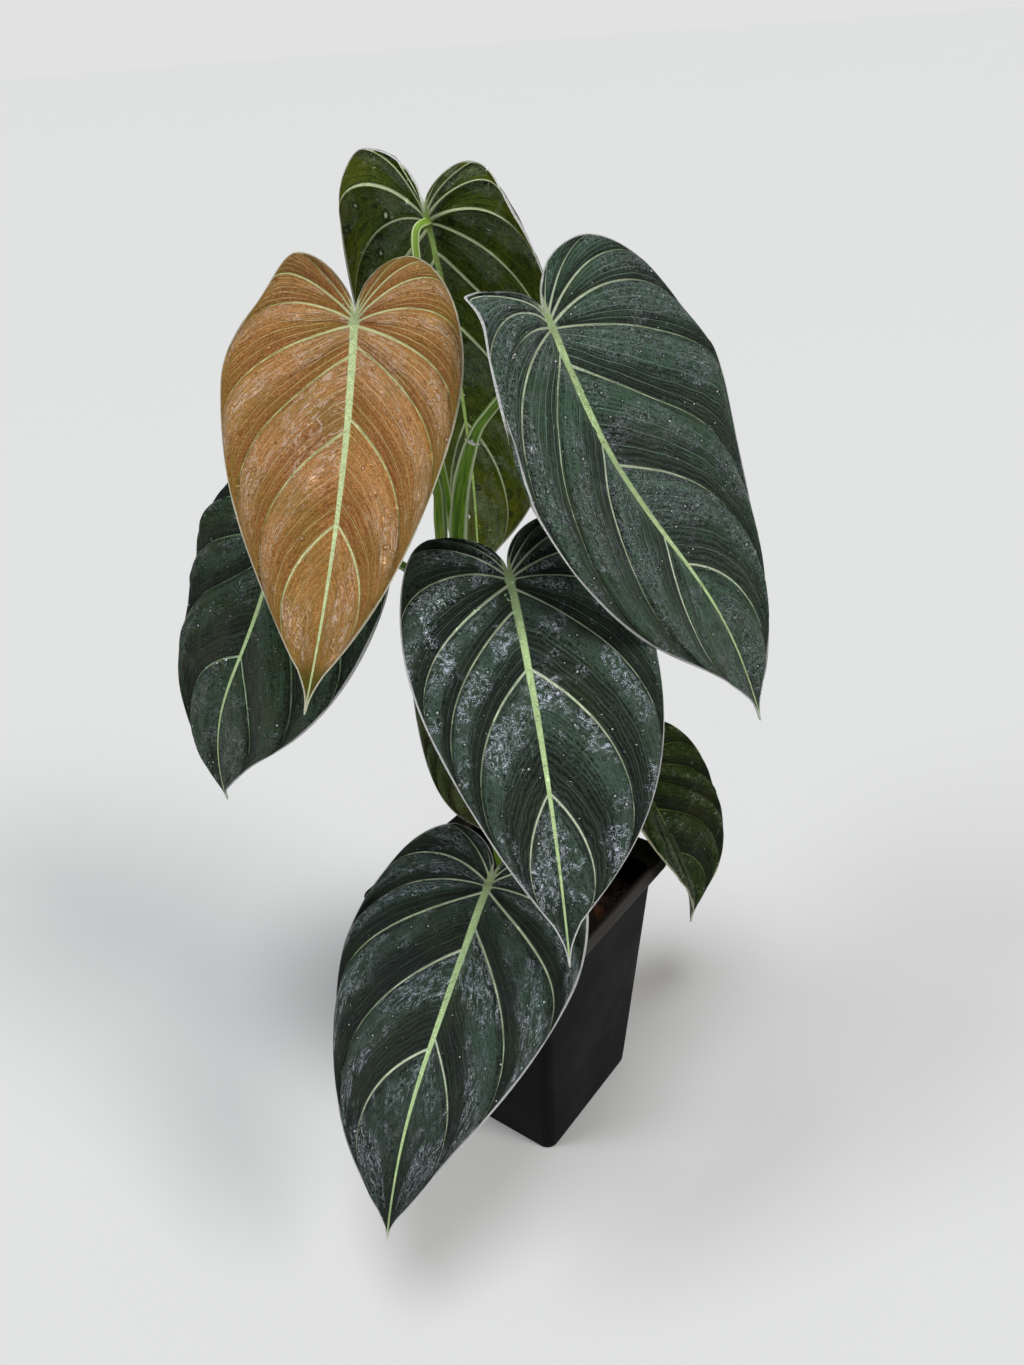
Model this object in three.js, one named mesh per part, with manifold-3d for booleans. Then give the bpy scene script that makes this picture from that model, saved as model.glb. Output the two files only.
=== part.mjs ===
// Potted black gold philodendron: a young climbing aroid with eight pendent, quilted, heart-shaped
// leaves, in a deep square nursery pot filled with a bark mix.
// Millimetres, +Z up. The origin is the middle of the pot's foot, and the pot's walls face the axes.

import * as THREE from 'three';
import Module from 'manifold-3d';
import { mergeVertices } from 'three/addons/utils/BufferGeometryUtils.js';

// Pot: a square tub that tapers to its foot, with a shoulder and a wider collar at the top
const POT = {
  height: 167, footSide: 89, shoulderSide: 117, collarSide: 130, collar: 10,
  wall: 1.8, floor: 2.8, corner: 7, bevel: 1.2, drain: 5, drainPlace: 26,
};
const CORNER_STEPS = 4;

// Potting mix: fills the pot to well below its collar, with a lumpy top
const MIX = {
  top: 139, gap: 0.35, lump: 1.6, sideSteps: 4, rings: [0.94, 0.74, 0.54, 0.34], stemHole: 7.4,
  holeFloor: 118,
};

// Stem: climbs from the middle of the mix, leaning back, with a swelling at each old leaf scar
const STEM = {
  route: [[0, 0, 118.4], [0, 0, 140], [-1, 4, 200], [-5, 8, 270], [-9, 12, 330], [-11, 14, 366]],
  radius: 5.6, swelling: 0.7, scars: [0.17, 0.3, 0.42, 0.56, 0.7, 0.84], sides: 10, steps: 30,
};

// Blades: what all leaves share
const BLADE = {
  thickness: 0.9, keel: 0.7, keelWidth: 3.2, groove: 0.8, grooveWidth: 4, widePanel: 36,
  calmEdge: 0.45, sinus: 0.03, dripWidth: 0.035, seatGap: 0.35,
};

// Veins leave a half blade in one family. The share 0 is the vein at the sinus and 1 the one at the tip.
// Those below the fan share start together at the petiole, the rest along the midrib.
// A vein leaves its root by "turn" degrees off the way back to the petiole, less near the sinus, and then
// hugs the edge. Both calm down near the tip.
const VEINS = {
  fan: 0.40, crowding: 3.4, lobeRibs: [0.12, 0.22, 0.34, 0.48],
  turn: 130, turnShare: 0.6, turnEase: 0.75, reach: 0.42, hug: 0.36, hugShare: 0.35, calmTip: 0.12,
};

// The edge of a half blade is four curves that meet at the lobe, the widest place and the drip tip.
// First the veins' shares at those places, then how far each curve's handles reach.
const EDGE = {
  lobe: 0.16, widest: 0.42, drip: 0.93,
  sinusBack: 0.55, sinusOut: 0.02, lobeIn: 0.45, taperBack: 0.5, dripOn: 0.35, dripOut: 0.45, tipBack: 0.45,
  tipOut: 0.1,
};

// Each leaf. The blade's base is where its petiole joins. The heading turns from the front toward +X,
// the dip is the fall of its midrib there, and the droop is how much further the midrib bends to the tip.
// On a half blade, width is from the midrib to the widest place, which lies at the length "at" from the
// base; the lobe reaches back by "lobe", at "out" from the midrib; the last four shape the edge between.
// The fold lifts the half above the flat, the curl bends its edge back down, and lift raises the lobe.
const LEAVES = [
  {
    name: 'bronze', colour: 0x9a6a3c, base: [-46, 28, 486], heading: -59, dip: 48, roll: 2, droop: 15,
    swerve: -15, weave: 0, length: 168, drip: 18, ribs: [0.09, 0.29, 0.55], quilt: 1.4,
    left: { width: 55, at: 28, lobe: 23, out: 20, crown: 0.4, cheek: 0.4, flank: 0.35, taper: 0.45,
      fold: 18, curl: 20, lift: 15, wave: 1.2, waves: 3.2, phase: 0.2 },
    right: { width: 50, at: 26, lobe: 26, out: 21, crown: 0.6, cheek: 0.45, flank: 0.3, taper: 0.5,
      fold: 18, curl: 17, lift: 0, wave: 1.2, waves: 2.7, phase: 0.6 },
    petiole: { route: [[-14, 19, 366.2], [-14, 19, 386], [-13, 19, 403], [-15, 22, 420], [-18, 27, 440]],
      approach: 18, radii: [2.8, 3.4, 2.6, 2.1, 2.0] },
  },
  {
    name: 'crown', colour: 0x32441a, base: [34, 49, 514], heading: 94, dip: 75, roll: 6, droop: 28,
    swerve: -10, weave: 1, length: 187, drip: 13, ribs: [0.08, 0.27, 0.55], quilt: 2.2,
    left: { width: 66, at: 42, lobe: 24, out: 22, crown: 0.6, cheek: 0.55, flank: 0.6, taper: 0.4,
      fold: 11, curl: 26, lift: 10, wave: 1.5, waves: 2.6, phase: 0.1 },
    right: { width: 64, at: 49, lobe: 27, out: 42, crown: 0.65, cheek: 0.6, flank: 0.5, taper: 0.4,
      fold: 13, curl: 28, lift: 8, wave: 1.5, waves: 3.1, phase: 0.5 },
    petiole: { route: [[-5, 18, 366.2], [-3, 23, 393], [6, 36, 438], [18, 45, 486]],
      approach: 10, radii: [2.6, 2.4, 2.1, 2.0] },
  },
  {
    name: 'right', colour: 0x3f5a4c, base: [-6, -46, 481], heading: 22, dip: 61, roll: 31, droop: 12,
    swerve: 6, weave: -11, length: 222, drip: 19, ribs: [0.1, 0.33, 0.62], quilt: 2.2,
    left: { width: 64, at: 52, lobe: 24, out: 35, crown: 0.2, cheek: 0.1, flank: 0.47, taper: 0.35,
      fold: 19, curl: 11, lift: -12, wave: 1.0, waves: 2.4, phase: 0.3 },
    right: { width: 74, at: 51, lobe: 31, out: 29, crown: 0.55, cheek: 0.46, flank: 0.26, taper: 0.1,
      fold: 9, curl: 0, lift: -3, wave: 1.2, waves: 2.8, phase: 0.8 },
    petiole: { route: [[-13, 11, 367.2], [-10, 10, 392], [-7, 7, 412], [-5, -1, 432], [-3, -8, 441],
      [-4, -18, 451]], approach: 12, radii: [4.4, 4.4, 4.2, 3.4, 2.6, 2.3, 2.1] },
  },
  {
    name: 'centre', colour: 0x2f463c, base: [-43, -43, 381], heading: -42, dip: 39, roll: -5, droop: 14,
    swerve: -4, weave: 0, length: 167, drip: 17, ribs: [0.05, 0.25, 0.56], quilt: 2.4,
    left: { width: 53, at: 31, lobe: 26, out: 27, crown: 0.55, cheek: 0.55, flank: 0.4, taper: 0.3,
      fold: 16, curl: 25, lift: -8, wave: 1.0, waves: 2.9, phase: 0.4 },
    right: { width: 58, at: 31, lobe: 30, out: 27, crown: 0.55, cheek: 0.5, flank: 0.65, taper: 0.3,
      fold: 16, curl: 25, lift: -4, wave: 1.0, waves: 2.5, phase: 0.9 },
    petiole: { route: [[-7.3, -1, 250], [-11, -7, 310], [-20, -16, 352]],
      approach: 20, radii: [2.8, 2.6, 2.2] },
  },
  {
    name: 'front', colour: 0x24392c, base: [-73, -39, 227], heading: -86, dip: 35, roll: -1, droop: 23,
    swerve: 6, weave: 3, length: 172, drip: 14, ribs: [0.03, 0.18, 0.46], quilt: 3.2,
    left: { width: 62, at: 48, lobe: 26, out: 28, crown: 0.5, cheek: 0.45, flank: 0.32, taper: 0.35,
      fold: 14, curl: 19, lift: -3, wave: 1.2, waves: 2.8, phase: 0.2 },
    right: { width: 60, at: 29, lobe: 28, out: 29, crown: 0.5, cheek: 0.5, flank: 0.25, taper: 0.35,
      fold: 12, curl: 24, lift: -2, wave: 1.2, waves: 3.1, phase: 0.7 },
    petiole: { route: [[-6.2, -5.2, 156], [-21, -16, 194], [-47, -30, 216]],
      approach: 8, radii: [2.6, 2.4, 2.2] },
  },
  {
    name: 'left', colour: 0x26382c, base: [-66, 74, 390], heading: -108, dip: 51, roll: -15, droop: 44,
    swerve: -7, weave: 12, length: 163, drip: 12, ribs: [0.07, 0.27, 0.55], quilt: 2.4,
    left: { width: 60, at: 17, lobe: 29, out: 32, crown: 0.5, cheek: 0.45, flank: 0.35, taper: 0.3,
      fold: 4, curl: 18, lift: -4, wave: 1.4, waves: 3.0, phase: 0.1 },
    right: { width: 65, at: 15, lobe: 29, out: 33, crown: 0.55, cheek: 0.5, flank: 0.35, taper: 0.35,
      fold: 6, curl: 32, lift: -1, wave: 1.4, waves: 2.6, phase: 0.5 },
    petiole: { route: [[-2, 14.6, 236], [-6, 21, 300], [-18, 30, 352], [-35, 52, 374]],
      approach: 14, radii: [2.8, 2.6, 2.3, 2.2] },
  },
  {
    name: 'rim', colour: 0x2b3517, base: [72, -35, 211], heading: 14, dip: 55, roll: 7, droop: 33,
    swerve: -2, weave: -7, length: 121, drip: 11, ribs: [0.07, 0.27, 0.55], quilt: 1.8,
    left: { width: 43, at: 16, lobe: 21, out: 22, crown: 0.5, cheek: 0.5, flank: 0.3, taper: 0.3,
      fold: 33, curl: 24, lift: -1, wave: 0.8, waves: 2.6, phase: 0.6 },
    right: { width: 45, at: 24, lobe: 19, out: 21, crown: 0.5, cheek: 0.45, flank: 0.7, taper: 0.35,
      fold: 32, curl: 18, lift: -4, wave: 0.8, waves: 2.9, phase: 0.2 },
    petiole: { route: [[5.8, -2.5, 168], [30, -7, 186], [55, -13, 197]],
      approach: 18, radii: [2.3, 2.1, 1.9] },
  },
  {
    name: 'inner', colour: 0x2b3517, base: [-29, -13, 323], heading: -55, dip: 73, roll: -2, droop: 34,
    swerve: 1, weave: 4, length: 113, drip: 12, ribs: [0.07, 0.27, 0.55], quilt: 1.8,
    left: { width: 37, at: 16, lobe: 22, out: 20, crown: 0.55, cheek: 0.5, flank: 0.65, taper: 0.4,
      fold: 14, curl: 24, lift: 0, wave: 0.8, waves: 2.7, phase: 0.3 },
    right: { width: 37, at: 17, lobe: 21, out: 20, crown: 0.55, cheek: 0.5, flank: 0.55, taper: 0.4,
      fold: 12, curl: 25, lift: 0, wave: 0.8, waves: 2.4, phase: 0.8 },
    petiole: { route: [[-8, 3.5, 170], [-18, 1, 215], [-23, 1, 270], [-23, -1, 308]],
      approach: 16, radii: [2.2, 2.1, 1.9, 1.8] },
  },
];

const PETIOLE_SIDES = 8;
const PETIOLE_STEPS = 16;
const BLADE_COLUMNS = [0, 0.1, 0.25, 0.42, 0.62, 0.82, 1];
const SPINE_STEPS = 60;

const radians = THREE.MathUtils.degToRad;
const clamp = THREE.MathUtils.clamp;
const vector = (values) => new THREE.Vector3(...values);

// One closed body from vertices and triangles, dropping triangles that have no area
function solid(points, triangles) {
  const positions = points.flatMap((p) => [p.x, p.y, p.z]);
  const geometry = new THREE.BufferGeometry();
  geometry.setAttribute('position', new THREE.Float32BufferAttribute(positions, 3));
  geometry.setIndex(triangles.flat());
  const merged = mergeVertices(geometry, 1e-4);
  const index = merged.getIndex().array;
  const kept = [];
  for (let i = 0; i < index.length; i += 3) {
    const [a, b, c] = [index[i], index[i + 1], index[i + 2]];
    if (a !== b && b !== c && c !== a) kept.push(a, b, c);
  }
  merged.setIndex(kept);
  merged.computeVertexNormals();
  return merged;
}

// A body skinned over a stack of rings that run counterclockwise, closed with a fan at each end
function stack(rings) {
  const count = rings[0].length;
  const points = rings.flat();
  const triangles = [];
  for (let level = 0; level + 1 < rings.length; level += 1) {
    for (let j = 0; j < count; j += 1) {
      const a = level * count + j;
      const b = level * count + (j + 1) % count;
      triangles.push([a, b, b + count], [a, b + count, a + count]);
    }
  }
  const middle = (ring) => ring.reduce((sum, p) => sum.add(p), new THREE.Vector3()).divideScalar(count);
  const first = points.push(middle(rings[0])) - 1;
  const last = points.push(middle(rings[rings.length - 1])) - 1;
  const top = (rings.length - 1) * count;
  for (let j = 0; j < count; j += 1) {
    const next = (j + 1) % count;
    triangles.push([first, next, j], [last, top + j, top + next]);
  }
  return solid(points, triangles);
}

// A square ring with round corners, at one height
function squareRing(half, corner, z, sideSteps = 1) {
  const ring = [];
  for (let quarter = 0; quarter < 4; quarter += 1) {
    const middle = (quarter + 0.5) * Math.PI / 2;
    const cx = Math.sign(Math.cos(middle)) * (half - corner);
    const cy = Math.sign(Math.sin(middle)) * (half - corner);
    for (let step = 0; step <= CORNER_STEPS; step += 1) {
      const angle = (quarter + step / CORNER_STEPS) * Math.PI / 2;
      ring.push(new THREE.Vector3(cx + corner * Math.cos(angle), cy + corner * Math.sin(angle), z));
    }
    const run = ring[ring.length - 1];
    const turn = (quarter + 1) * Math.PI / 2;
    const length = 2 * (half - corner);
    for (let step = 1; step < sideSteps; step += 1) {
      const along = length * step / sideSteps;
      ring.push(new THREE.Vector3(run.x - along * Math.sin(turn), run.y + along * Math.cos(turn), z));
    }
  }
  return ring;
}

// A tube of changing radius along a smooth route
function taperedTube(route, radiusAt, sides, steps) {
  const curve = new THREE.CatmullRomCurve3(route);
  const frames = curve.computeFrenetFrames(steps, false);
  const rings = [];
  for (let i = 0; i <= steps; i += 1) {
    const centre = curve.getPointAt(i / steps);
    const radius = radiusAt(i / steps);
    const ring = [];
    for (let j = 0; j < sides; j += 1) {
      const angle = 2 * Math.PI * j / sides;
      ring.push(centre.clone()
        .addScaledVector(frames.normals[i], radius * Math.cos(angle))
        .addScaledVector(frames.binormals[i], radius * Math.sin(angle)));
    }
    rings.push(ring);
  }
  return stack(rings);
}

// A value that runs evenly through a list of stations
function through(stations, share) {
  const place = clamp(share, 0, 1) * (stations.length - 1);
  const i = Math.min(Math.floor(place), stations.length - 2);
  return THREE.MathUtils.lerp(stations[i], stations[i + 1], place - i);
}

// Cutting, by way of exact solids
const wasm = await Module();
wasm.setup();

function toManifold(geometry) {
  const bare = geometry.clone();
  bare.deleteAttribute('normal');
  bare.deleteAttribute('uv');
  const merged = mergeVertices(bare, 1e-4);
  return new wasm.Manifold(new wasm.Mesh({
    numProp: 3,
    vertProperties: new Float32Array(merged.getAttribute('position').array),
    triVerts: new Uint32Array(merged.getIndex().array),
  }));
}

function fromManifold(body) {
  const mesh = body.getMesh();
  const geometry = new THREE.BufferGeometry();
  geometry.setAttribute('position', new THREE.BufferAttribute(mesh.vertProperties, 3));
  geometry.setIndex(new THREE.BufferAttribute(mesh.triVerts, 1));
  geometry.computeVertexNormals();
  return geometry;
}

// The pot's inner half side at a height between its floor and its shoulder
const shoulderHeight = POT.height - POT.collar;
const ledgeHeight = shoulderHeight + POT.wall;
const insideFoot = POT.footSide / 2 - POT.wall;
const insideShoulder = POT.shoulderSide / 2 - POT.wall;

function insideHalf(z) {
  return THREE.MathUtils.lerp(insideFoot, insideShoulder, (z - POT.floor) / (ledgeHeight - POT.floor));
}

function potGeometry() {
  const foot = POT.footSide / 2;
  const shoulder = POT.shoulderSide / 2;
  const collar = POT.collarSide / 2;
  const inner = POT.corner - POT.wall;
  const tub = stack([
    squareRing(foot - POT.bevel, POT.corner - POT.bevel, 0),
    squareRing(foot, POT.corner, POT.bevel),
    squareRing(shoulder, POT.corner, shoulderHeight),
    squareRing(collar - POT.bevel, POT.corner, shoulderHeight),
    squareRing(collar, POT.corner, shoulderHeight + POT.bevel),
    squareRing(collar, POT.corner, POT.height),
    squareRing(collar - POT.wall, inner, POT.height),
    squareRing(collar - POT.wall, inner, ledgeHeight),
    squareRing(insideShoulder, inner, ledgeHeight),
    squareRing(insideFoot, inner, POT.floor),
  ]);
  let body = toManifold(tub);
  for (const [sx, sy] of [[1, 1], [1, -1], [-1, 1], [-1, -1]]) {
    const bore = new THREE.CylinderGeometry(POT.drain, POT.drain, 4 * POT.floor, 12);
    bore.rotateX(Math.PI / 2);
    bore.translate(sx * POT.drainPlace, sy * POT.drainPlace, 0);
    body = body.subtract(toManifold(bore));
  }
  return fromManifold(body);
}

// Lumps on the mix, as a few crossing waves
function lump(x, y) {
  return MIX.lump * (Math.sin(0.21 * x + 1) * Math.cos(0.17 * y) + 0.6 * Math.sin(0.47 * x + 0.39 * y));
}

function mixGeometry() {
  const corner = POT.corner - POT.wall;
  const bottom = POT.floor + MIX.gap;
  const edge = insideHalf(MIX.top - 2 * MIX.lump) - MIX.gap;
  const rings = [
    squareRing(insideHalf(bottom) - MIX.gap, corner, bottom, MIX.sideSteps),
    squareRing(edge, corner, MIX.top - 2 * MIX.lump, MIX.sideSteps),
  ];
  for (const share of MIX.rings) {
    const ring = squareRing(edge * share, corner * share, MIX.top, MIX.sideSteps);
    ring.forEach((p) => p.setZ(MIX.top + lump(p.x, p.y)));
    rings.push(ring);
  }
  const round = rings[0].map((p) => p.clone().setZ(0).setLength(MIX.stemHole));
  rings.push(round.map((p) => p.clone().setZ(MIX.top)));
  rings.push(round.map((p) => p.clone().setZ(MIX.holeFloor)));
  return stack(rings);
}

function stemGeometry() {
  const swell = (share) => STEM.scars.reduce((sum, scar) => sum
    + STEM.swelling * Math.exp(-(((share - scar) / 0.018) ** 2)), 0);
  return taperedTube(STEM.route.map(vector), (share) => STEM.radius + swell(share), STEM.sides, STEM.steps);
}

// The midrib as a bent line, with the directions along it, across the blade and out of its upper face
function spineOf(leaf) {
  const [heading, dip, roll] = [leaf.heading, leaf.dip, leaf.roll].map(radians);
  const along = new THREE.Vector3(
    Math.sin(heading) * Math.cos(dip),
    -Math.cos(heading) * Math.cos(dip),
    -Math.sin(dip),
  );
  const level = new THREE.Vector3(0, 0, 1).cross(along).normalize();
  const above = along.clone().cross(level);
  const across = level.clone().multiplyScalar(Math.cos(roll)).addScaledVector(above, Math.sin(roll));
  const face = above.clone().multiplyScalar(Math.cos(roll)).addScaledVector(level, -Math.sin(roll));

  const direction = (share) => {
    const bend = radians(leaf.droop) * share;
    const turn = radians(leaf.swerve) * share + radians(leaf.weave) * Math.cos(2 * Math.PI * share);
    return along.clone().multiplyScalar(Math.cos(bend) * Math.cos(turn))
      .addScaledVector(across, Math.cos(bend) * Math.sin(turn))
      .addScaledVector(face, -Math.sin(bend))
      .normalize();
  };
  const step = leaf.length / SPINE_STEPS;
  const places = [vector(leaf.base)];
  for (let i = 0; i < SPINE_STEPS; i += 1) {
    const middle = direction(i / SPINE_STEPS).add(direction((i + 1) / SPINE_STEPS)).multiplyScalar(0.5);
    places.push(places[i].clone().addScaledVector(middle, step));
  }

  return (x) => {
    const share = clamp(x / leaf.length, 0, 1);
    const i = Math.min(Math.floor(share * SPINE_STEPS), SPINE_STEPS - 1);
    const point = x < 0
      ? vector(leaf.base).addScaledVector(direction(0), x)
      : places[i].clone().lerp(places[i + 1], share * SPINE_STEPS - i);
    const forward = direction(share);
    const side = across.clone().addScaledVector(forward, -across.dot(forward)).normalize();
    return { point, side, out: forward.clone().cross(side) };
  };
}

function cubic(p0, p1, p2, p3, u) {
  return new THREE.CubicBezierCurve(p0, p1, p2, p3).getPoint(u);
}

const flat = (x, y) => new THREE.Vector2(x, y);

// The edge of a half blade laid flat, from the sinus round the lobe and the widest place to the tip
function edgePoint(leaf, half, share) {
  const sinus = flat(-BLADE.sinus * leaf.length, 0);
  const lobe = flat(-half.lobe, half.out);
  const widest = flat(half.at, half.width);
  const drip = flat(leaf.length - leaf.drip, BLADE.dripWidth * leaf.length);
  const tip = flat(leaf.length, 0);
  if (share <= EDGE.lobe) {
    const back = EDGE.sinusBack * (half.lobe + sinus.x);
    const start = flat(sinus.x - back, EDGE.sinusOut * half.out);
    return cubic(sinus, start, flat(lobe.x, EDGE.lobeIn * half.out), lobe, share / EDGE.lobe);
  }
  if (share <= EDGE.widest) {
    const start = flat(lobe.x, lobe.y + half.crown * (half.width - half.out));
    const end = flat(widest.x - half.cheek * (half.at + half.lobe), widest.y);
    return cubic(lobe, start, end, widest, (share - EDGE.lobe) / (EDGE.widest - EDGE.lobe));
  }
  if (share <= EDGE.drip) {
    const run = drip.x - widest.x;
    const start = flat(widest.x + half.flank * run, widest.y);
    const back = EDGE.taperBack * half.taper * run;
    const end = flat(drip.x - back, drip.y + half.taper * (widest.y - drip.y));
    return cubic(widest, start, end, drip, (share - EDGE.widest) / (EDGE.drip - EDGE.widest));
  }
  const start = flat(drip.x + EDGE.dripOn * leaf.drip, EDGE.dripOut * drip.y);
  const end = flat(tip.x - EDGE.tipBack * leaf.drip, EDGE.tipOut * drip.y);
  return cubic(drip, start, end, tip, (share - EDGE.drip) / (1 - EDGE.drip));
}

// A point of the half blade laid flat, on the vein at this share, at a way from its root to the edge
function veinPoint(leaf, half, share, way) {
  const edge = edgePoint(leaf, half, share);
  const tangent = edgePoint(leaf, half, Math.min(share + 1e-3, 1))
    .sub(edgePoint(leaf, half, Math.max(share - 1e-3, 0))).normalize();
  const root = share < VEINS.fan
    ? flat(-BLADE.sinus * leaf.length * (1 - share / VEINS.fan), 0)
    : flat(leaf.length * ((share - VEINS.fan) / (1 - VEINS.fan)) ** VEINS.crowding, 0);
  const chord = edge.distanceTo(root);
  const nearTip = Math.min(1, (1 - share) / VEINS.calmTip);
  const straight = Math.atan2(edge.y - root.y, edge.x - root.x);
  const turned = VEINS.turn * Math.min(1, share / VEINS.turnShare) ** VEINS.turnEase;
  const angle = straight + (radians(180 - turned) - straight) * nearTip;
  const hug = VEINS.hug * Math.min(1, share / VEINS.hugShare) ** 2 * nearTip;
  const reach = VEINS.reach * chord;
  const start = flat(root.x + reach * Math.cos(angle), root.y + reach * Math.sin(angle));
  const finish = edge.clone().addScaledVector(tangent, -hug * chord);
  return cubic(root, start, finish, edge, way);
}

// Shares of the primary veins of a leaf, from sinus to tip
function primaryShares(leaf) {
  const along = leaf.ribs.map((rib) => VEINS.fan + (1 - VEINS.fan) * rib ** (1 / VEINS.crowding));
  return [0, ...VEINS.lobeRibs, ...along, 1];
}

// Height of the relief above the smooth half blade: panels swollen between the primary veins, and more
// so the wider they are, a groove along the midrib, and a waved edge
function relief(leaf, half, share, way, y, primaries) {
  let panel = 0;
  while (panel + 2 < primaries.length && share > primaries[panel + 1]) panel += 1;
  const [near, far] = primaries.slice(panel, panel + 2);
  const width = veinPoint(leaf, half, near, way).distanceTo(veinPoint(leaf, half, far, way));
  const height = leaf.quilt * Math.min(1, width / BLADE.widePanel);
  const phase = clamp((share - near) / (far - near), 0, 1);
  const inward = Math.min(1, (1 - way) / BLADE.calmEdge) ** 2;
  const swollen = height * Math.sin(Math.PI * phase) * inward;
  const waved = half.wave * way ** 4 * Math.sin(2 * Math.PI * (half.waves * share + half.phase));
  const calm = Math.min(1, share / EDGE.lobe, (1 - share) / EDGE.lobe) ** 2;
  const groove = -BLADE.groove * Math.exp(-((y / BLADE.grooveWidth) ** 2));
  return calm * (swollen + waved) + groove;
}

// A point on the upper face of a half blade, and the one below it on the underside
function facePoints(leaf, spine, half, side, share, way, primaries) {
  const laid = veinPoint(leaf, half, share, way);
  const { point, side: across, out } = spine(laid.x);
  const fold = radians(half.fold);
  const curve = radians(half.curl) / half.width;
  const slope = fold - curve * laid.y;
  const reach = curve === 0 ? laid.y * Math.cos(fold) : (Math.sin(fold) - Math.sin(slope)) / curve;
  const rise = curve === 0 ? laid.y * Math.sin(fold) : (Math.cos(slope) - Math.cos(fold)) / curve;
  const sinus = BLADE.sinus * leaf.length;
  const lobe = half.lift * clamp((-laid.x - sinus) / (half.lobe - sinus), 0, 1.2) ** 2;
  const upper = point.clone()
    .addScaledVector(across, side * reach)
    .addScaledVector(out, rise + lobe + relief(leaf, half, share, way, laid.y, primaries));
  const depth = BLADE.thickness + BLADE.keel * Math.exp(-((laid.y / BLADE.keelWidth) ** 2));
  const lean = way === 0 || laid.y < 1e-6 ? 0 : slope;
  const lower = upper.clone()
    .addScaledVector(out, -depth * Math.cos(lean))
    .addScaledVector(across, side * depth * Math.sin(lean));
  return [upper, lower];
}

// Rows between the primary veins, so that each crease lies on a row
function rowShares(primaries) {
  const rows = [0];
  for (let i = 0; i + 1 < primaries.length; i += 1) {
    const parts = i + 2 === primaries.length ? 4 : 2;
    for (let part = 1; part <= parts; part += 1) {
      rows.push(THREE.MathUtils.lerp(primaries[i], primaries[i + 1], part / parts));
    }
  }
  return rows;
}

function bladeGeometry(leaf) {
  const spine = spineOf(leaf);
  const primaries = primaryShares(leaf);
  const rows = rowShares(primaries);
  const columns = BLADE_COLUMNS;
  const upper = [];
  const lower = [];
  const triangles = [];
  const halves = [[leaf.left, -1], [leaf.right, 1]];

  halves.forEach(([half, side], which) => {
    for (const share of rows) {
      for (const way of columns) {
        const [above, below] = facePoints(leaf, spine, half, side, share, way, primaries);
        upper.push(above);
        lower.push(below);
      }
    }
    const start = which * rows.length * columns.length;
    for (let i = 0; i + 1 < rows.length; i += 1) {
      for (let j = 0; j + 1 < columns.length; j += 1) {
        const a = start + i * columns.length + j;
        const b = a + 1;
        const c = b + columns.length;
        const d = a + columns.length;
        const faces = side > 0 ? [[a, d, b], [b, d, c]] : [[a, b, d], [b, c, d]];
        faces.forEach((face) => triangles.push(face));
      }
    }
  });

  const count = upper.length;
  const underside = triangles.map(([a, b, c]) => [a + count, c + count, b + count]);
  const rim = [];
  halves.forEach(([, side], which) => {
    for (let i = 0; i + 1 < rows.length; i += 1) {
      const a = which * rows.length * columns.length + (i + 1) * columns.length - 1;
      const b = a + columns.length;
      const quad = [[a, b, b + count], [a, b + count, a + count]];
      quad.forEach(([p, q, r]) => rim.push(side > 0 ? [p, q, r] : [p, r, q]));
    }
  });
  return solid([...upper, ...lower], [...triangles, ...underside, ...rim]);
}

// A petiole climbs from the stem and meets its blade square on, from below
function petioleGeometry(leaf) {
  const { out } = spineOf(leaf)(0);
  const seat = BLADE.groove + BLADE.thickness + BLADE.keel + BLADE.seatGap;
  const end = vector(leaf.base).addScaledVector(out, -seat);
  const before = end.clone().addScaledVector(out, -leaf.petiole.approach);
  const route = [...leaf.petiole.route.map(vector), before, end];
  return taperedTube(route, (share) => through(leaf.petiole.radii, share), PETIOLE_SIDES, PETIOLE_STEPS);
}

function mesh(name, geometry, color, roughness) {
  const body = new THREE.Mesh(geometry, new THREE.MeshStandardMaterial({ color, roughness, metalness: 0 }));
  body.name = name;
  return body;
}

const plant = new THREE.Group();
plant.add(mesh('pot', potGeometry(), 0x232426, 0.4));
plant.add(mesh('potting_mix', mixGeometry(), 0x2a1d15, 0.95));
plant.add(mesh('stem', stemGeometry(), 0x5b7434, 0.55));
for (const leaf of LEAVES) {
  plant.add(mesh(`petiole_${leaf.name}`, petioleGeometry(leaf), 0x7d9645, 0.5));
  plant.add(mesh(`blade_${leaf.name}`, bladeGeometry(leaf), leaf.colour, 0.5));
}

export default plant;
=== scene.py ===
# %% [markdown]
# # A black gold philodendron in its nursery pot
# A young climbing aroid: velvety, heart-shaped leaves hang from long stalks around one stem, over a
# black plastic pot of bark mix. The leaves were misted, so they carry specks and beads of water.
# The solid model gives every piece its place. Here each piece gets its fine shape and its finish.

# %% Load the solid model
import math
import random

import bmesh
import bpy
import numpy as np
from mathutils import Matrix, Vector
from mathutils.geometry import delaunay_2d_cdt


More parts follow.
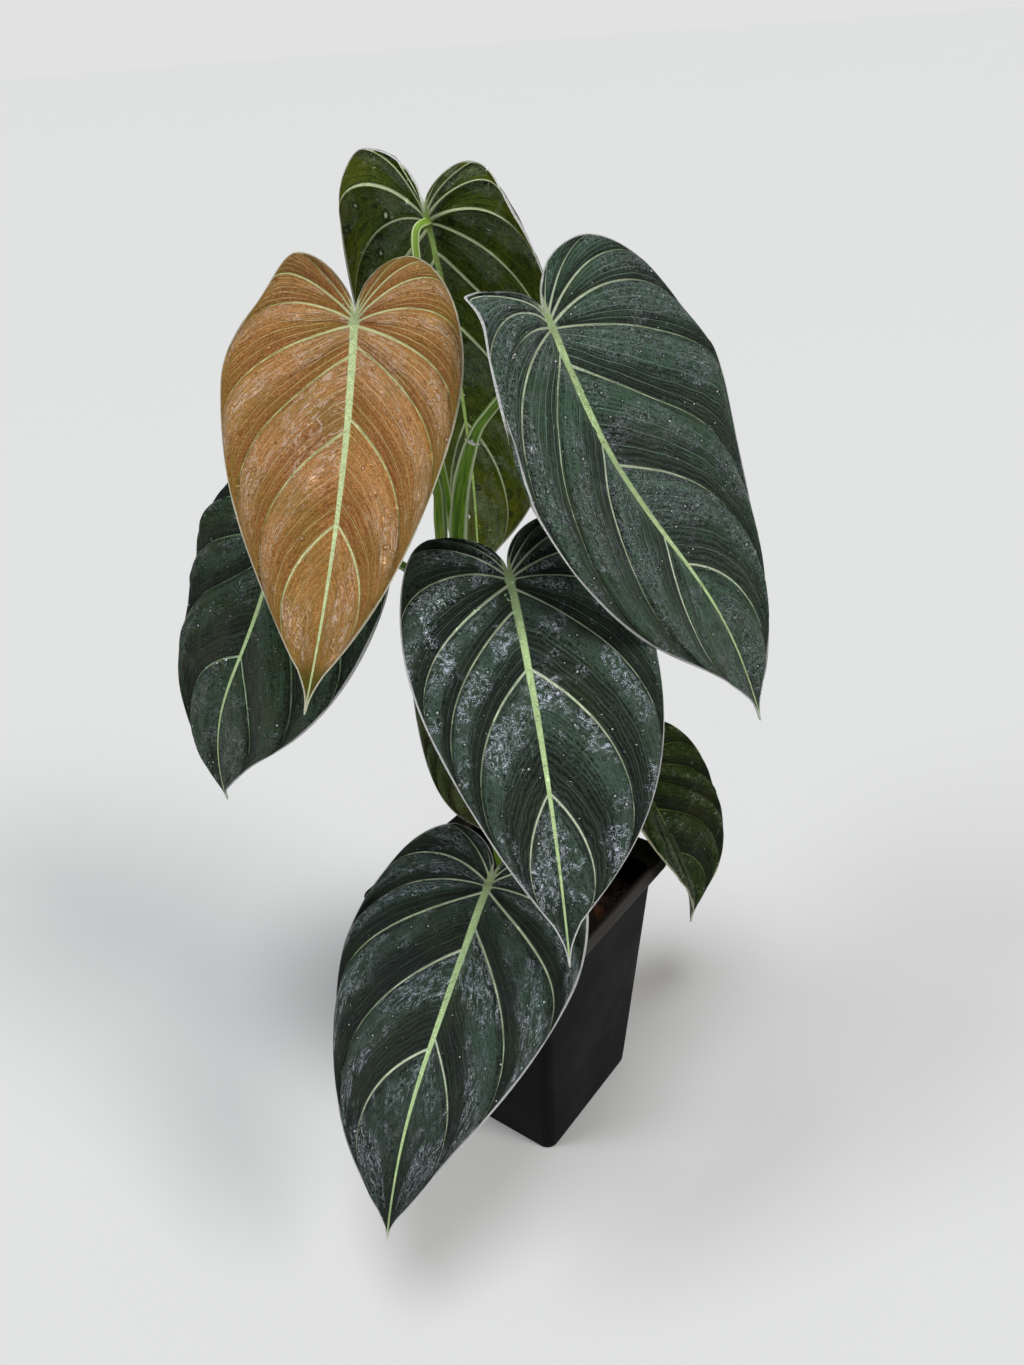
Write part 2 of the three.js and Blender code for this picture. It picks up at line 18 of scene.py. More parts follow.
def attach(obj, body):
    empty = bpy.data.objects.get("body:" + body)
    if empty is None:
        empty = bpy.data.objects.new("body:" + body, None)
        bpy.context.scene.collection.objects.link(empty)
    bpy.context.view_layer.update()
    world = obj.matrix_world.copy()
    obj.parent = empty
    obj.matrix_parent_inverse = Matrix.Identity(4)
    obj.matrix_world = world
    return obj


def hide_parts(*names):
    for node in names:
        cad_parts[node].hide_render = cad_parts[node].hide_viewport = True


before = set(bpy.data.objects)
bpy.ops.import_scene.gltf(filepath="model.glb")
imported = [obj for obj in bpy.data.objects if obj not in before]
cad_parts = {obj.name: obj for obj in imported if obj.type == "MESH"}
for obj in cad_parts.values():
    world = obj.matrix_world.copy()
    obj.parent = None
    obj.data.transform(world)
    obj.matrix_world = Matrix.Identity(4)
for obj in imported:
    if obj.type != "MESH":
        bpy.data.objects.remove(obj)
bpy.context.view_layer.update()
MM = 0.001
print("nodes:", ", ".join(sorted(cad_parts)))

# %% [markdown]
# ## The camera
# The view is from above the pot's near corner, looking down at thirty degrees. A camera can be aimed
# with a Track To constraint, but this one was turned a little in the hand too, so it is placed by a
# matrix made from three angles.

# %% Place the camera
EYE = Vector((-0.3969, -0.3164, 0.5879))
LOOK_YAW, LOOK_DOWN, LOOK_ROLL = (math.radians(a) for a in (52.01, 30.06, -4.2))
FRAME_HEIGHT_PX = 1365
FOCAL_PX = 1120
SENSOR = 36
FAR_CLIP = 200


def look_matrix(eye, yaw, down, roll):
    """A camera's matrix: yaw turns it from +Y toward +X, down tips it toward the floor."""
    ahead = Vector((math.sin(yaw) * math.cos(down), math.cos(yaw) * math.cos(down), -math.sin(down)))
    level = Vector((math.cos(yaw), -math.sin(yaw), 0))
    above = level.cross(ahead)
    right = level * math.cos(roll) + above * math.sin(roll)
    up = above * math.cos(roll) - level * math.sin(roll)
    turn = Matrix((right, up, -ahead)).transposed().to_4x4()
    return Matrix.Translation(eye) @ turn


camera_data = bpy.data.cameras.new("studio_camera")
camera_data.sensor_width = SENSOR
camera_data.lens = SENSOR * FOCAL_PX / FRAME_HEIGHT_PX
camera_data.clip_end = FAR_CLIP
camera = bpy.data.objects.new("studio_camera", camera_data)
camera.matrix_world = look_matrix(EYE, LOOK_YAW, LOOK_DOWN, LOOK_ROLL)
bpy.context.scene.collection.objects.link(camera)
bpy.context.scene.camera = camera
bpy.context.scene.view_settings.view_transform = "Standard"
print("lens", round(camera_data.lens, 2), "mm")

# %% [markdown]
# ## The studio
# A plain pale floor that runs out to the horizon, a warm key light from the right, a cool one of the
# same strength overhead and a weaker one from the left. Suns light a floor evenly where lamps would
# leave pools, and a wide sun angle gives the soft shadows of a big softbox. The sky is nearly as bright
# as the floor to the camera, so no horizon shows, but it lights the plant only dimly: dark leaves need
# something dark to mirror.

# %% Light the studio
FLOOR_TONE = 0.80
SKY_TONE = 0.76
SKY_GLOW = 0.16
# For each sun: the way from the plant to it, its strength, its width in degrees and its colour.
SUNS = {
    "key_light": ((0.05, -1.0, 0.95), 1.2, 20, (1.0, 0.97, 0.93)),
    "overhead_light": ((-0.3, -0.25, 1.3), 1.2, 20, (0.95, 0.98, 1.0)),
    "side_light": ((-0.58, 0.42, 0.75), 0.85, 22, (0.95, 0.98, 1.0)),
}
for name, (toward, strength, angle, colour) in SUNS.items():
    data = bpy.data.lights.new(name, "SUN")
    data.energy = strength
    data.angle = math.radians(angle)
    data.color = colour
    lamp = bpy.data.objects.new(name, data)
    lamp.rotation_euler = Vector(toward).to_track_quat("Z", "Y").to_euler()
    bpy.context.scene.collection.objects.link(lamp)

world = bpy.data.worlds.new("pale_studio")
bpy.context.scene.world = world
world.use_nodes = True
sky = world.node_tree
lit, seen = sky.nodes["Background"], sky.nodes.new("ShaderNodeBackground")
for shade, background in ((SKY_GLOW, lit), (SKY_TONE, seen)):
    background.inputs["Color"].default_value = (shade, shade, shade, 1)
choice = sky.nodes.new("ShaderNodeMixShader")
ray = sky.nodes.new("ShaderNodeLightPath")
sky.links.new(ray.outputs["Is Camera Ray"], choice.inputs[0])
sky.links.new(lit.outputs[0], choice.inputs[1])
sky.links.new(seen.outputs[0], choice.inputs[2])
sky.links.new(choice.outputs[0], sky.nodes["World Output"].inputs["Surface"])
print(len(SUNS), "suns and a dim sky")

# %% [markdown]
# ## Small helpers for materials
# A finish is a graph of shader nodes. These helpers keep each graph short to write: they make a node and
# give it its values, do arithmetic, read a UV map, and lay one colour over another by a mask.


# %% Make helpers for shader graphs
class Graph:
    """Adds nodes to one node tree. A value is a number, a colour or a vector, or an output to link."""

    def __init__(self, tree):
        self.tree = tree

    def put(self, socket, value):
        if isinstance(value, bpy.types.NodeSocket):
            self.tree.links.new(value, socket)
        else:
            socket.default_value = value

    def feed(self, node, values):
        """Gives a node its values, by the names or the numbers of its inputs."""
        for key, value in values.items():
            self.put(node.inputs[key], value)

    def node(self, kind, inputs=None, **settings):
        made = self.tree.nodes.new(kind)
        for key, value in settings.items():
            setattr(made, key, value)
        self.feed(made, inputs or {})
        return made

    def math(self, operation, a, b=0.0, clamp=False):
        return self.node("ShaderNodeMath", {0: a, 1: b}, operation=operation, use_clamp=clamp).outputs[0]

    def times(self, total, *others):
        for other in others:
            total = self.math("MULTIPLY", total, other)
        return total

    def plus(self, total, *others):
        for other in others:
            total = self.math("ADD", total, other)
        return total

    def less(self, a, b):
        return self.math("SUBTRACT", a, b)

    def fade(self, value, low, high, to_low=0.0, to_high=1.0):
        """A smooth step: to_low where value is under low, to_high where it is over high."""
        values = {"Value": value, "From Min": low, "From Max": high, "To Min": to_low, "To Max": to_high}
        return self.node("ShaderNodeMapRange", values, interpolation_type="SMOOTHSTEP").outputs[0]

    def fall(self, value, low, high):
        """A smooth step down: one where value is under low, zero where it is over high."""
        return self.fade(value, low, high, 1.0, 0.0)

    def mix(self, factor, a, b):
        made = self.node("ShaderNodeMix", data_type="RGBA", blend_type="MIX", clamp_factor=True)
        for key, value in (("Factor", factor), ("A", a), ("B", b)):
            self.put(next(s for s in made.inputs if s.name == key and s.enabled), value)
        return next(s for s in made.outputs if s.enabled)

    def lay(self, colour, layers):
        """Lays other colours over a first one in turn, each by its own mask."""
        for mask, over in layers:
            colour = self.mix(mask, colour, over)
        return colour

    def noise(self, vector, scale, detail=3.0, rough=0.55, distortion=0.0):
        return self.node("ShaderNodeTexNoise", {"Vector": vector, "Scale": scale, "Detail": detail,
                                                "Roughness": rough, "Distortion": distortion}).outputs[0]

    def vector(self, x, y, z=0.0):
        return self.node("ShaderNodeCombineXYZ", {0: x, 1: y, 2: z}).outputs[0]

    def parts(self, vector):
        return self.node("ShaderNodeSeparateXYZ", {0: vector}).outputs

    def stretch(self, vector, factors):
        return self.node("ShaderNodeVectorMath", {0: vector, 1: factors}, operation="MULTIPLY").outputs[0]

    def uv(self, name):
        return self.node("ShaderNodeUVMap", uv_map=name).outputs[0]

    def place(self):
        """The point itself, in metres."""
        return self.node("ShaderNodeTexCoord").outputs["Object"]


def tone(hex_colour):
    """A colour written as on a screen, such as "4b5a2c", as Blender's linear colour."""
    parts = [int(hex_colour[i:i + 2], 16) / 255 for i in (0, 2, 4)]
    return (*[c / 12.92 if c <= 0.04045 else ((c + 0.055) / 1.055) ** 2.4 for c in parts], 1.0)


def tones(**hex_colours):
    return {name: tone(written) for name, written in hex_colours.items()}


def new_material(name):
    """A material with only its Principled BSDF, and a Graph to add nodes to it."""
    made = bpy.data.materials.new(name)
    made.use_nodes = True
    return made, Graph(made.node_tree), made.node_tree.nodes["Principled BSDF"]


def dress(graph, surface, values, height=None, strength=1.0, distance=0.001):
    """Gives a surface its values. A height, if there is one, becomes a bump, its distance in metres."""
    graph.feed(surface, values)
    if height is not None:
        bump = graph.node("ShaderNodeBump", {"Height": height, "Strength": strength, "Distance": distance})
        graph.feed(surface, {"Normal": bump.outputs[0]})


def new_group(name, inputs, outputs):
    """A shader node group. Each input has a number as its default, or None for a vector. The outputs
    are numbers. Returns the group, its Graph, its inputs in order, and the node that takes the outputs."""
    tree = bpy.data.node_groups.new(name, "ShaderNodeTree")
    for label, default in inputs.items():
        kind = "NodeSocketVector" if default is None else "NodeSocketFloat"
        socket = tree.interface.new_socket(label, in_out="INPUT", socket_type=kind)
        if default is not None:
            socket.default_value = default
    for label in outputs:
        tree.interface.new_socket(label, in_out="OUTPUT", socket_type="NodeSocketFloat")
    graph = Graph(tree)
    given = graph.node("NodeGroupInput").outputs
    return tree, graph, [given[i] for i in range(len(inputs))], graph.node("NodeGroupOutput")


print("shader helpers ready")

# %% [markdown]
# ## The floor
# The floor belongs to the studio and not to the plant. A single large square is enough, with a matt
# finish whose faint mottle keeps it from looking like empty space.

# %% Lay the floor
FLOOR_HALF = 80
FLOOR_DROP = 0.0002
FLOOR_MOTTLE = (0.995, 1.005)


def floor_material():
    made, g, surface = new_material("studio_floor")
    low, high = [(*[FLOOR_TONE * share] * 3, 1) for share in FLOOR_MOTTLE]
    dress(g, surface, {"Base Color": g.mix(g.noise(g.place(), 0.9, 2), low, high), "Roughness": 0.9,
                       "Specular IOR Level": 0.1})
    return made


floor_mesh = bpy.data.meshes.new("studio_floor")
corners = [(-FLOOR_HALF, -FLOOR_HALF, 0), (FLOOR_HALF, -FLOOR_HALF, 0),
           (FLOOR_HALF, FLOOR_HALF, 0), (-FLOOR_HALF, FLOOR_HALF, 0)]
floor_mesh.from_pydata(corners, [], [(0, 1, 2, 3)])
floor = bpy.data.objects.new("studio_floor", floor_mesh)
floor.location.z = -FLOOR_DROP
floor_mesh.materials.append(floor_material())
bpy.context.scene.collection.objects.link(floor)
print("floor laid")

# %% [markdown]
# ## What every leaf shares
# A leaf blade can be sculpted, or bent from a flat cut-out with modifiers. Here it is drawn by rule,
# because every vein, crease and droplet has to follow the same lines. A half blade is laid flat and
# covered by one family of veins, from the sinus to the tip. A point is named by the vein it lies on
# (its share, 0 to 1) and by how far along that vein it lies (its way, 0 to 1). The flat half is then
# folded up from the midrib, curled down at its edge, and hung on a midrib that droops.

# %% Write down the leaves' shared rules
VEINS = dict(fan=0.40, crowding=3.4, turn=130, turn_share=0.6, turn_ease=1.3, reach=0.42, hug=0.42,
             hug_share=0.3, calm_tip=0.12)
EDGE = dict(lobe=0.16, widest=0.42, drip=0.93)
BLADE = dict(thickness=0.9, edge_thickness=0.45, groove=0.8, groove_width=4, wide_panel=30,
             calm_edge=0.24, skew=0.8, sinus=0.03, drip_width=0.035)
SPINE_STEPS = 60


def unit(v):
    return v / np.maximum(np.linalg.norm(v, axis=-1, keepdims=True), 1e-12)


def bezier(p0, p1, p2, p3, u):
    """Points on cubic curves, one for each row of the corner points and of u."""
    return (1 - u) ** 3 * p0 + 3 * (1 - u) ** 2 * u * p1 + 3 * (1 - u) * u ** 2 * p2 + u ** 3 * p3


def edge_points(leaf, half, shares):
    """The edge of a half blade laid flat, in millimetres from the petiole's joint."""
    length = leaf["length"]
    sinus = np.array([-BLADE["sinus"] * length, 0.0])
    lobe = np.array([-half["lobe"], half["out"]], float)
    widest = np.array([half["at"], half["width"]], float)
    drip = np.array([length - leaf["drip"], BLADE["drip_width"] * length])
    tip = np.array([length, 0.0])
    run = drip[0] - widest[0]
    back = 0.55 * (half["lobe"] + sinus[0])
    rise = half["crown"] * (half["width"] - half["out"])
    reach = half["cheek"] * (half["at"] + half["lobe"])
    fall = half["taper"] * (widest[1] - drip[1])
    curves = [
        (sinus, sinus + (-back, 0.02 * half["out"]), lobe - (0, 0.55 * half["out"]), lobe),
        (lobe, lobe + (0, rise), widest - (reach, 0), widest),
        (widest, widest + (half["flank"] * run, 0), drip + (-0.5 * half["taper"] * run, fall), drip),
        (drip, drip + (0.35 * leaf["drip"], -0.55 * drip[1]),
         tip + (-0.45 * leaf["drip"], 0.1 * drip[1]), tip),
    ]
    stops = [0, EDGE["lobe"], EDGE["widest"], EDGE["drip"], 1]
    points = np.zeros((len(shares), 2))
    for curve, start, stop in zip(curves, stops, stops[1:]):
        here = (shares >= start) & (shares <= stop)
        points[here] = bezier(*curve, ((shares[here] - start) / (stop - start))[:, None])
    return points


def vein_points(leaf, half, shares, ways):
    """A grid of points of the flat half blade: a row for each share, a column for each way."""
    shares = np.asarray(shares, float)
    edge = edge_points(leaf, half, shares)
    nudge = 1e-3
    tangent = unit(edge_points(leaf, half, np.minimum(shares + nudge, 1))
                   - edge_points(leaf, half, np.maximum(shares - nudge, 0)))
    along = np.clip((shares - VEINS["fan"]) / (1 - VEINS["fan"]), 0, 1) ** VEINS["crowding"]
    inside = -BLADE["sinus"] * np.clip(1 - shares / VEINS["fan"], 0, 1)
    root = np.stack([leaf["length"] * (along + inside), np.zeros_like(shares)], 1)
    chord = np.linalg.norm(edge - root, axis=1)
    near_tip = np.minimum(1, (1 - shares) / VEINS["calm_tip"])
    straight = np.arctan2(edge[:, 1] - root[:, 1], edge[:, 0] - root[:, 0])
    turned = VEINS["turn"] * np.minimum(1, shares / VEINS["turn_share"]) ** VEINS["turn_ease"]
    angle = straight + (np.radians(180 - turned) - straight) * near_tip
    hug = VEINS["hug"] * np.minimum(1, shares / VEINS["hug_share"]) ** 2 * near_tip
    start = root + (VEINS["reach"] * chord)[:, None] * np.stack([np.cos(angle), np.sin(angle)], 1)
    finish = edge - (hug * chord)[:, None] * tangent
    corners = [p[:, None, :] for p in (root, start, finish, edge)]
    return bezier(*corners, np.asarray(ways, float)[None, :, None])


print("veins and edges ruled")

# %% [markdown]
# ## The midrib in space
# The midrib leaves its petiole with a heading and a dip, droops toward its tip and may weave a little.
# Walking along it in short steps gives its points, and at each one the directions across the blade and
# out of its upper face.


# %% Bend a leaf's midrib
def spine_of(leaf):
    """Returns a function from a length along the midrib to point, across and out."""
    heading, dip, roll = np.radians([leaf["heading"], leaf["dip"], leaf["roll"]])
    along = np.array([np.sin(heading) * np.cos(dip), -np.cos(heading) * np.cos(dip), -np.sin(dip)])
    level = unit(np.cross((0, 0, 1), along))
    above = np.cross(along, level)
    across = level * np.cos(roll) + above * np.sin(roll)
    face = above * np.cos(roll) - level * np.sin(roll)

    def direction(share):
        share = np.asarray(share, float)[..., None]
        bend = np.radians(leaf["droop"]) * share
        turn = np.radians(leaf["swerve"]) * share + np.radians(leaf["weave"]) * np.cos(2 * np.pi * share)
        return unit(np.cos(bend) * np.cos(turn) * along + np.cos(bend) * np.sin(turn) * across
                    - np.sin(bend) * face)

    ways = np.linspace(0, 1, SPINE_STEPS + 1)
    headings = direction(ways)
    steps = 0.5 * (headings[1:] + headings[:-1]) * leaf["length"] / SPINE_STEPS
    places = np.vstack([np.zeros(3), np.cumsum(steps, 0)]) + np.array(leaf["base"], float)

    def at(x):
        share = np.clip(x / leaf["length"], 0, 1)
        point = np.stack([np.interp(share, ways, places[:, k]) for k in range(3)], -1)
        point += np.minimum(x, 0)[..., None] * direction(0.0)
        forward = direction(share)
        side = unit(across - (forward @ across)[..., None] * forward)
        return point, side, np.cross(forward, side)

    return at


print("midribs can be bent")

# %% [markdown]
# ## The leaves
# Each leaf has its own place, pose and outline. The names are those of the solid blades, and say where
# a leaf hangs: crown is the one at the top that shows its underside, and bronze is the newest.


# %% List the leaves
HALF = ("width", "at", "lobe", "out", "crown", "cheek", "flank", "taper", "fold", "curl", "lift", "wave",
        "waves", "phase", "veins")


def half(*values):
    """The outline and the bends of one half of a blade by the names in HALF, in millimetres and degrees.
    The veins are the shares of its primary veins."""
    return dict(zip(HALF, values))


LEAVES = {
    "bronze": dict(
        base=(-46, 28, 486), heading=-59, dip=48, roll=2, droop=15, swerve=-15, weave=0, length=168,
        drip=18, quilt=2.1,
        left=half(55, 28, 23, 20, 0.4, 0.4, 0.35, 0.45, 18, 20, 15, 1.2, 3.2, 0.2,
                  (0.1, 0.165, 0.245, 0.34, 0.53, 0.69, 0.815, 0.895)),
        right=half(50, 26, 26, 21, 0.6, 0.45, 0.3, 0.5, 18, 17, 0, 1.2, 2.7, 0.6,
                   (0.1, 0.17, 0.23, 0.3, 0.4, 0.545, 0.66, 0.8, 0.895))),
    "crown": dict(
        base=(34, 49, 514), heading=94, dip=75, roll=6, droop=28, swerve=-10, weave=1, length=187,
        drip=13, quilt=3.2,
        left=half(66, 42, 24, 22, 0.6, 0.55, 0.6, 0.4, 11, 26, 10, 1.5, 2.6, 0.1,
                  (0.1, 0.17, 0.25, 0.355, 0.5, 0.68, 0.8, 0.9)),
        right=half(64, 49, 27, 42, 0.65, 0.6, 0.5, 0.4, 13, 28, 8, 1.5, 3.1, 0.5,
                   (0.1, 0.19, 0.32, 0.44, 0.58, 0.7, 0.8, 0.9))),
    "right": dict(
        base=(-6, -46, 481), heading=22, dip=61, roll=31, droop=12, swerve=6, weave=-11, length=222,
        drip=19, quilt=3.0,
        left=half(64, 52, 24, 35, 0.2, 0.1, 0.47, 0.35, 19, 11, -12, 1.0, 2.4, 0.3,
                  (0.12, 0.2, 0.28, 0.4, 0.5, 0.64, 0.79, 0.88)),
        right=half(74, 51, 31, 29, 0.55, 0.46, 0.26, 0.1, 9, 0, -3, 1.2, 2.8, 0.8,
                   (0.1, 0.19, 0.265, 0.345, 0.49, 0.675, 0.815, 0.905))),
    "centre": dict(
        base=(-43, -43, 381), heading=-42, dip=39, roll=-5, droop=14, swerve=-4, weave=0, length=167,
        drip=17, quilt=3.3,
        left=half(53, 31, 26, 27, 0.55, 0.55, 0.4, 0.3, 16, 25, -8, 1.0, 2.9, 0.4,
                  (0.11, 0.19, 0.29, 0.395, 0.57, 0.69, 0.8, 0.91)),
        right=half(58, 31, 30, 27, 0.55, 0.5, 0.65, 0.3, 16, 25, -4, 1.0, 2.5, 0.9,
                   (0.1, 0.18, 0.27, 0.35, 0.45, 0.6, 0.8, 0.91))),
    "front": dict(
        base=(-73, -39, 227), heading=-86, dip=35, roll=-1, droop=23, swerve=6, weave=3, length=172,
        drip=14, quilt=4.2,
        left=half(62, 48, 26, 28, 0.5, 0.45, 0.32, 0.35, 14, 19, -3, 1.2, 2.8, 0.2,
                  (0.1, 0.2, 0.33, 0.455, 0.58, 0.765, 0.88)),
        right=half(60, 29, 28, 29, 0.5, 0.5, 0.25, 0.35, 12, 24, -2, 1.2, 3.1, 0.7,
                   (0.1, 0.2, 0.3, 0.43, 0.56, 0.72, 0.87))),
    "left": dict(
        base=(-66, 74, 390), heading=-108, dip=51, roll=-15, droop=44, swerve=-7, weave=12, length=163,
        drip=12, quilt=4.4,
        left=half(60, 17, 29, 32, 0.5, 0.45, 0.35, 0.3, 4, 18, -4, 1.4, 3.0, 0.1,
                  (0.12, 0.24, 0.36, 0.5, 0.67, 0.86)),
        right=half(65, 15, 29, 33, 0.55, 0.5, 0.35, 0.35, 6, 32, -1, 1.4, 2.6, 0.5,
                   (0.12, 0.24, 0.36, 0.46, 0.58, 0.72, 0.86))),
    "rim": dict(
        base=(72, -35, 211), heading=14, dip=55, roll=7, droop=33, swerve=-2, weave=-7, length=121,
        drip=11, quilt=2.8,
        left=half(43, 16, 21, 22, 0.5, 0.5, 0.3, 0.3, 33, 24, -1, 0.8, 2.6, 0.6,
                  (0.1, 0.2, 0.32, 0.42, 0.54, 0.68, 0.8, 0.9)),
        right=half(45, 24, 19, 21, 0.5, 0.45, 0.7, 0.35, 32, 18, -4, 0.8, 2.9, 0.2,
                   (0.1, 0.2, 0.32, 0.42, 0.54, 0.68, 0.8, 0.9))),
    "inner": dict(
        base=(-29, -13, 323), heading=-55, dip=73, roll=-2, droop=34, swerve=1, weave=4, length=113,
        drip=12, quilt=2.6,
        left=half(37, 16, 22, 20, 0.55, 0.5, 0.65, 0.4, 14, 24, 0, 0.8, 2.7, 0.3,
                  (0.12, 0.22, 0.34, 0.46, 0.6, 0.72, 0.82, 0.91)),
        right=half(37, 17, 21, 20, 0.55, 0.5, 0.55, 0.4, 12, 25, 0, 0.8, 2.4, 0.8,
                   (0.12, 0.22, 0.34, 0.46, 0.6, 0.72, 0.82, 0.91))),
}
print(len(LEAVES), "leaves listed")

# %% [markdown]
# ## Relief on a blade
# Between its primary veins a leaf of this kind swells like a quilt, and the veins lie in the creases.
# Finer veins run between them. The relief is real geometry down to about half a millimetre, so it
# catches light from every side. Finer grain is left to the materials. Sizes are in millimetres.

# %% Shape the relief
FINE_VEINS = 5
SPACING = 1.35
WAY_STEPS = 42
NOISE_CELLS = 97
RELIEF = dict(rib=0.75, rib_width=1.5, keel=1.2, keel_width=1.7, crease=0.42, crease_under=0.55,
              fine=0.14, fine_width=0.6, puckers=0.3, hills=0.5, hill_size=17)


def soft_noise(x, y, cell, seed):
    """Smooth random hills of height -1 to 1, about one cell apart."""
    grid = np.random.default_rng(seed).uniform(-1, 1, (NOISE_CELLS, NOISE_CELLS))
    u, v = x / cell, y / cell
    i, j = np.floor(u).astype(int), np.floor(v).astype(int)
    a, b = u - i, v - j
    a, b = a * a * (3 - 2 * a), b * b * (3 - 2 * b)
    corner = lambda di, dj: grid[(i + di) % NOISE_CELLS, (j + dj) % NOISE_CELLS]
    low = corner(0, 0) * (1 - a) + corner(1, 0) * a
    high = corner(0, 1) * (1 - a) + corner(1, 1) * a
    return low * (1 - b) + high * b


def rows_of(leaf):
    """Shares of the rows, the same for both halves so that they meet point to point on the midrib.
    Each half's own primary veins lie exactly on rows."""
    both = [np.array([0, *leaf[side]["veins"], 1]) for side in ("left", "right")]
    stops = np.unique(np.round(np.concatenate(both), 6))
    middles = [vein_points(leaf, leaf[side], stops, [0.7])[:, 0] for side in ("left", "right")]
    shares = [0.0]
    for k in range(len(stops) - 1):
        wide = max(np.linalg.norm(m[k + 1] - m[k]) for m in middles)
        parts = max(3, math.ceil(wide / SPACING))
        shares += [stops[k] + (stops[k + 1] - stops[k]) * i / parts for i in range(1, parts + 1)]
    return np.array(shares)


def phases_of(half_blade, shares):
    """A phase counts the primary veins of a half, so a whole number lies on one."""
    primaries = np.array([0, *half_blade["veins"], 1])
    return np.interp(shares, primaries, np.arange(len(primaries)))


def panel_gaps(leaf, half_blade, shares, ways):
    """The distance between the primary veins on either side, for each row and column."""
    primaries = np.array([0, *half_blade["veins"], 1])
    veins = vein_points(leaf, half_blade, primaries, ways)
    gaps = np.linalg.norm(veins[1:] - veins[:-1], axis=2)
    panel = np.clip(np.searchsorted(primaries, shares - 1e-9) - 1, 0, len(primaries) - 2)
    return gaps[panel]


def relief(leaf, half_blade, shares, phases, ways, laid, seed):
    """Heights of the upper and the lower face above the smooth blade, in millimetres."""
    share, phase, way = shares[:, None], phases[:, None], np.asarray(ways)[None, :]
    gap = panel_gaps(leaf, half_blade, shares, ways)
    y = laid[..., 1]
    inward = np.clip((1 - way) / BLADE["calm_edge"], 0, 1) ** 1.3
    near = 1 - np.exp(-((y / 5) ** 2))
    arch = np.abs(np.sin(np.pi * (phase - np.floor(phase)) ** BLADE["skew"])) ** 0.85
    swollen = leaf["quilt"] * np.minimum(1, gap / BLADE["wide_panel"]) * arch * inward * near
    turns = half_blade["waves"] * share + half_blade["phase"]
    waved = half_blade["wave"] * way ** 4 * np.sin(2 * np.pi * turns)
    calm = np.minimum(1, np.minimum(share, 1 - share) / EDGE["lobe"]) ** 2
    groove = -BLADE["groove"] * np.exp(-((y / BLADE["groove_width"]) ** 2))
    from_vein = np.abs(phase - np.round(phase)) * gap
    from_fine = np.abs(phase * FINE_VEINS - np.round(phase * FINE_VEINS)) / FINE_VEINS * gap
    room = np.clip((gap - 5) / 12, 0, 1)
    crease = np.exp(-(from_vein ** 2)) * np.clip(gap / 4, 0, 1) * (1 - way ** 3) * near
    fine = np.exp(-((from_fine / RELIEF["fine_width"]) ** 2)) * room * inward * near
    puckers = soft_noise(phase * 2.2 + seed, way * 9, 0.5, seed) * room * inward * near
    hills = soft_noise(laid[..., 0], y, RELIEF["hill_size"], seed + 1) * inward * calm * near
    left = 1 - laid[..., 0] / leaf["length"]
    rib = RELIEF["rib"] * np.exp(-((y / RELIEF["rib_width"]) ** 2)) * np.clip(left, 0.15, 1)
    upper = calm * (swollen + waved) + groove + rib - RELIEF["crease"] * crease - RELIEF["fine"] * fine
    puckered = RELIEF["puckers"] * leaf["quilt"] * puckers * np.abs(np.sin(np.pi * phase))
    upper += puckered + RELIEF["hills"] * hills
    keel = RELIEF["keel"] * np.exp(-((y / RELIEF["keel_width"]) ** 2)) * np.clip(left, 0.2, 1)
    thick = BLADE["edge_thickness"] + (BLADE["thickness"] - BLADE["edge_thickness"]) * (1 - way ** 6)
    lower = thick + keel + RELIEF["crease_under"] * crease + RELIEF["fine"] * fine
    return upper, lower, gap


print("relief ruled")

# %% [markdown]
# ## Building a blade
# Two grids of points, one for each face, are joined by a rounded rim. Three UV maps carry what the
# materials need: the vein a point is on and the way along it, its flat place, and its distances to the
# edge and between the veins. Lengths in the maps are in decimetres, to keep them near one. With those a
# material can draw a vein exactly.

# %% Build blade meshes
UV_NAMES = ("veins", "flat", "marks")
TO_UV = 0.01
FROM_UV = 100.0
RIM_BULGE = 0.18
EDGE_STEPS = 240
BLADE_WELD = 3e-6
BLADE_SHARP = 62
DEGENERATE = 1e-7


def edge_distance(laid, edge):
    """For each point of the flat half, its distance to the nearest stretch of the edge."""
    a, b = edge[:-1], edge[1:]
    run = b - a
    flat = laid.reshape(-1, 1, 2)
    t = np.clip(((flat - a) * run).sum(-1) / np.maximum((run ** 2).sum(-1), 1e-9), 0, 1)
    return np.linalg.norm(flat - (a + t[..., None] * run), axis=-1).min(1).reshape(laid.shape[:2])


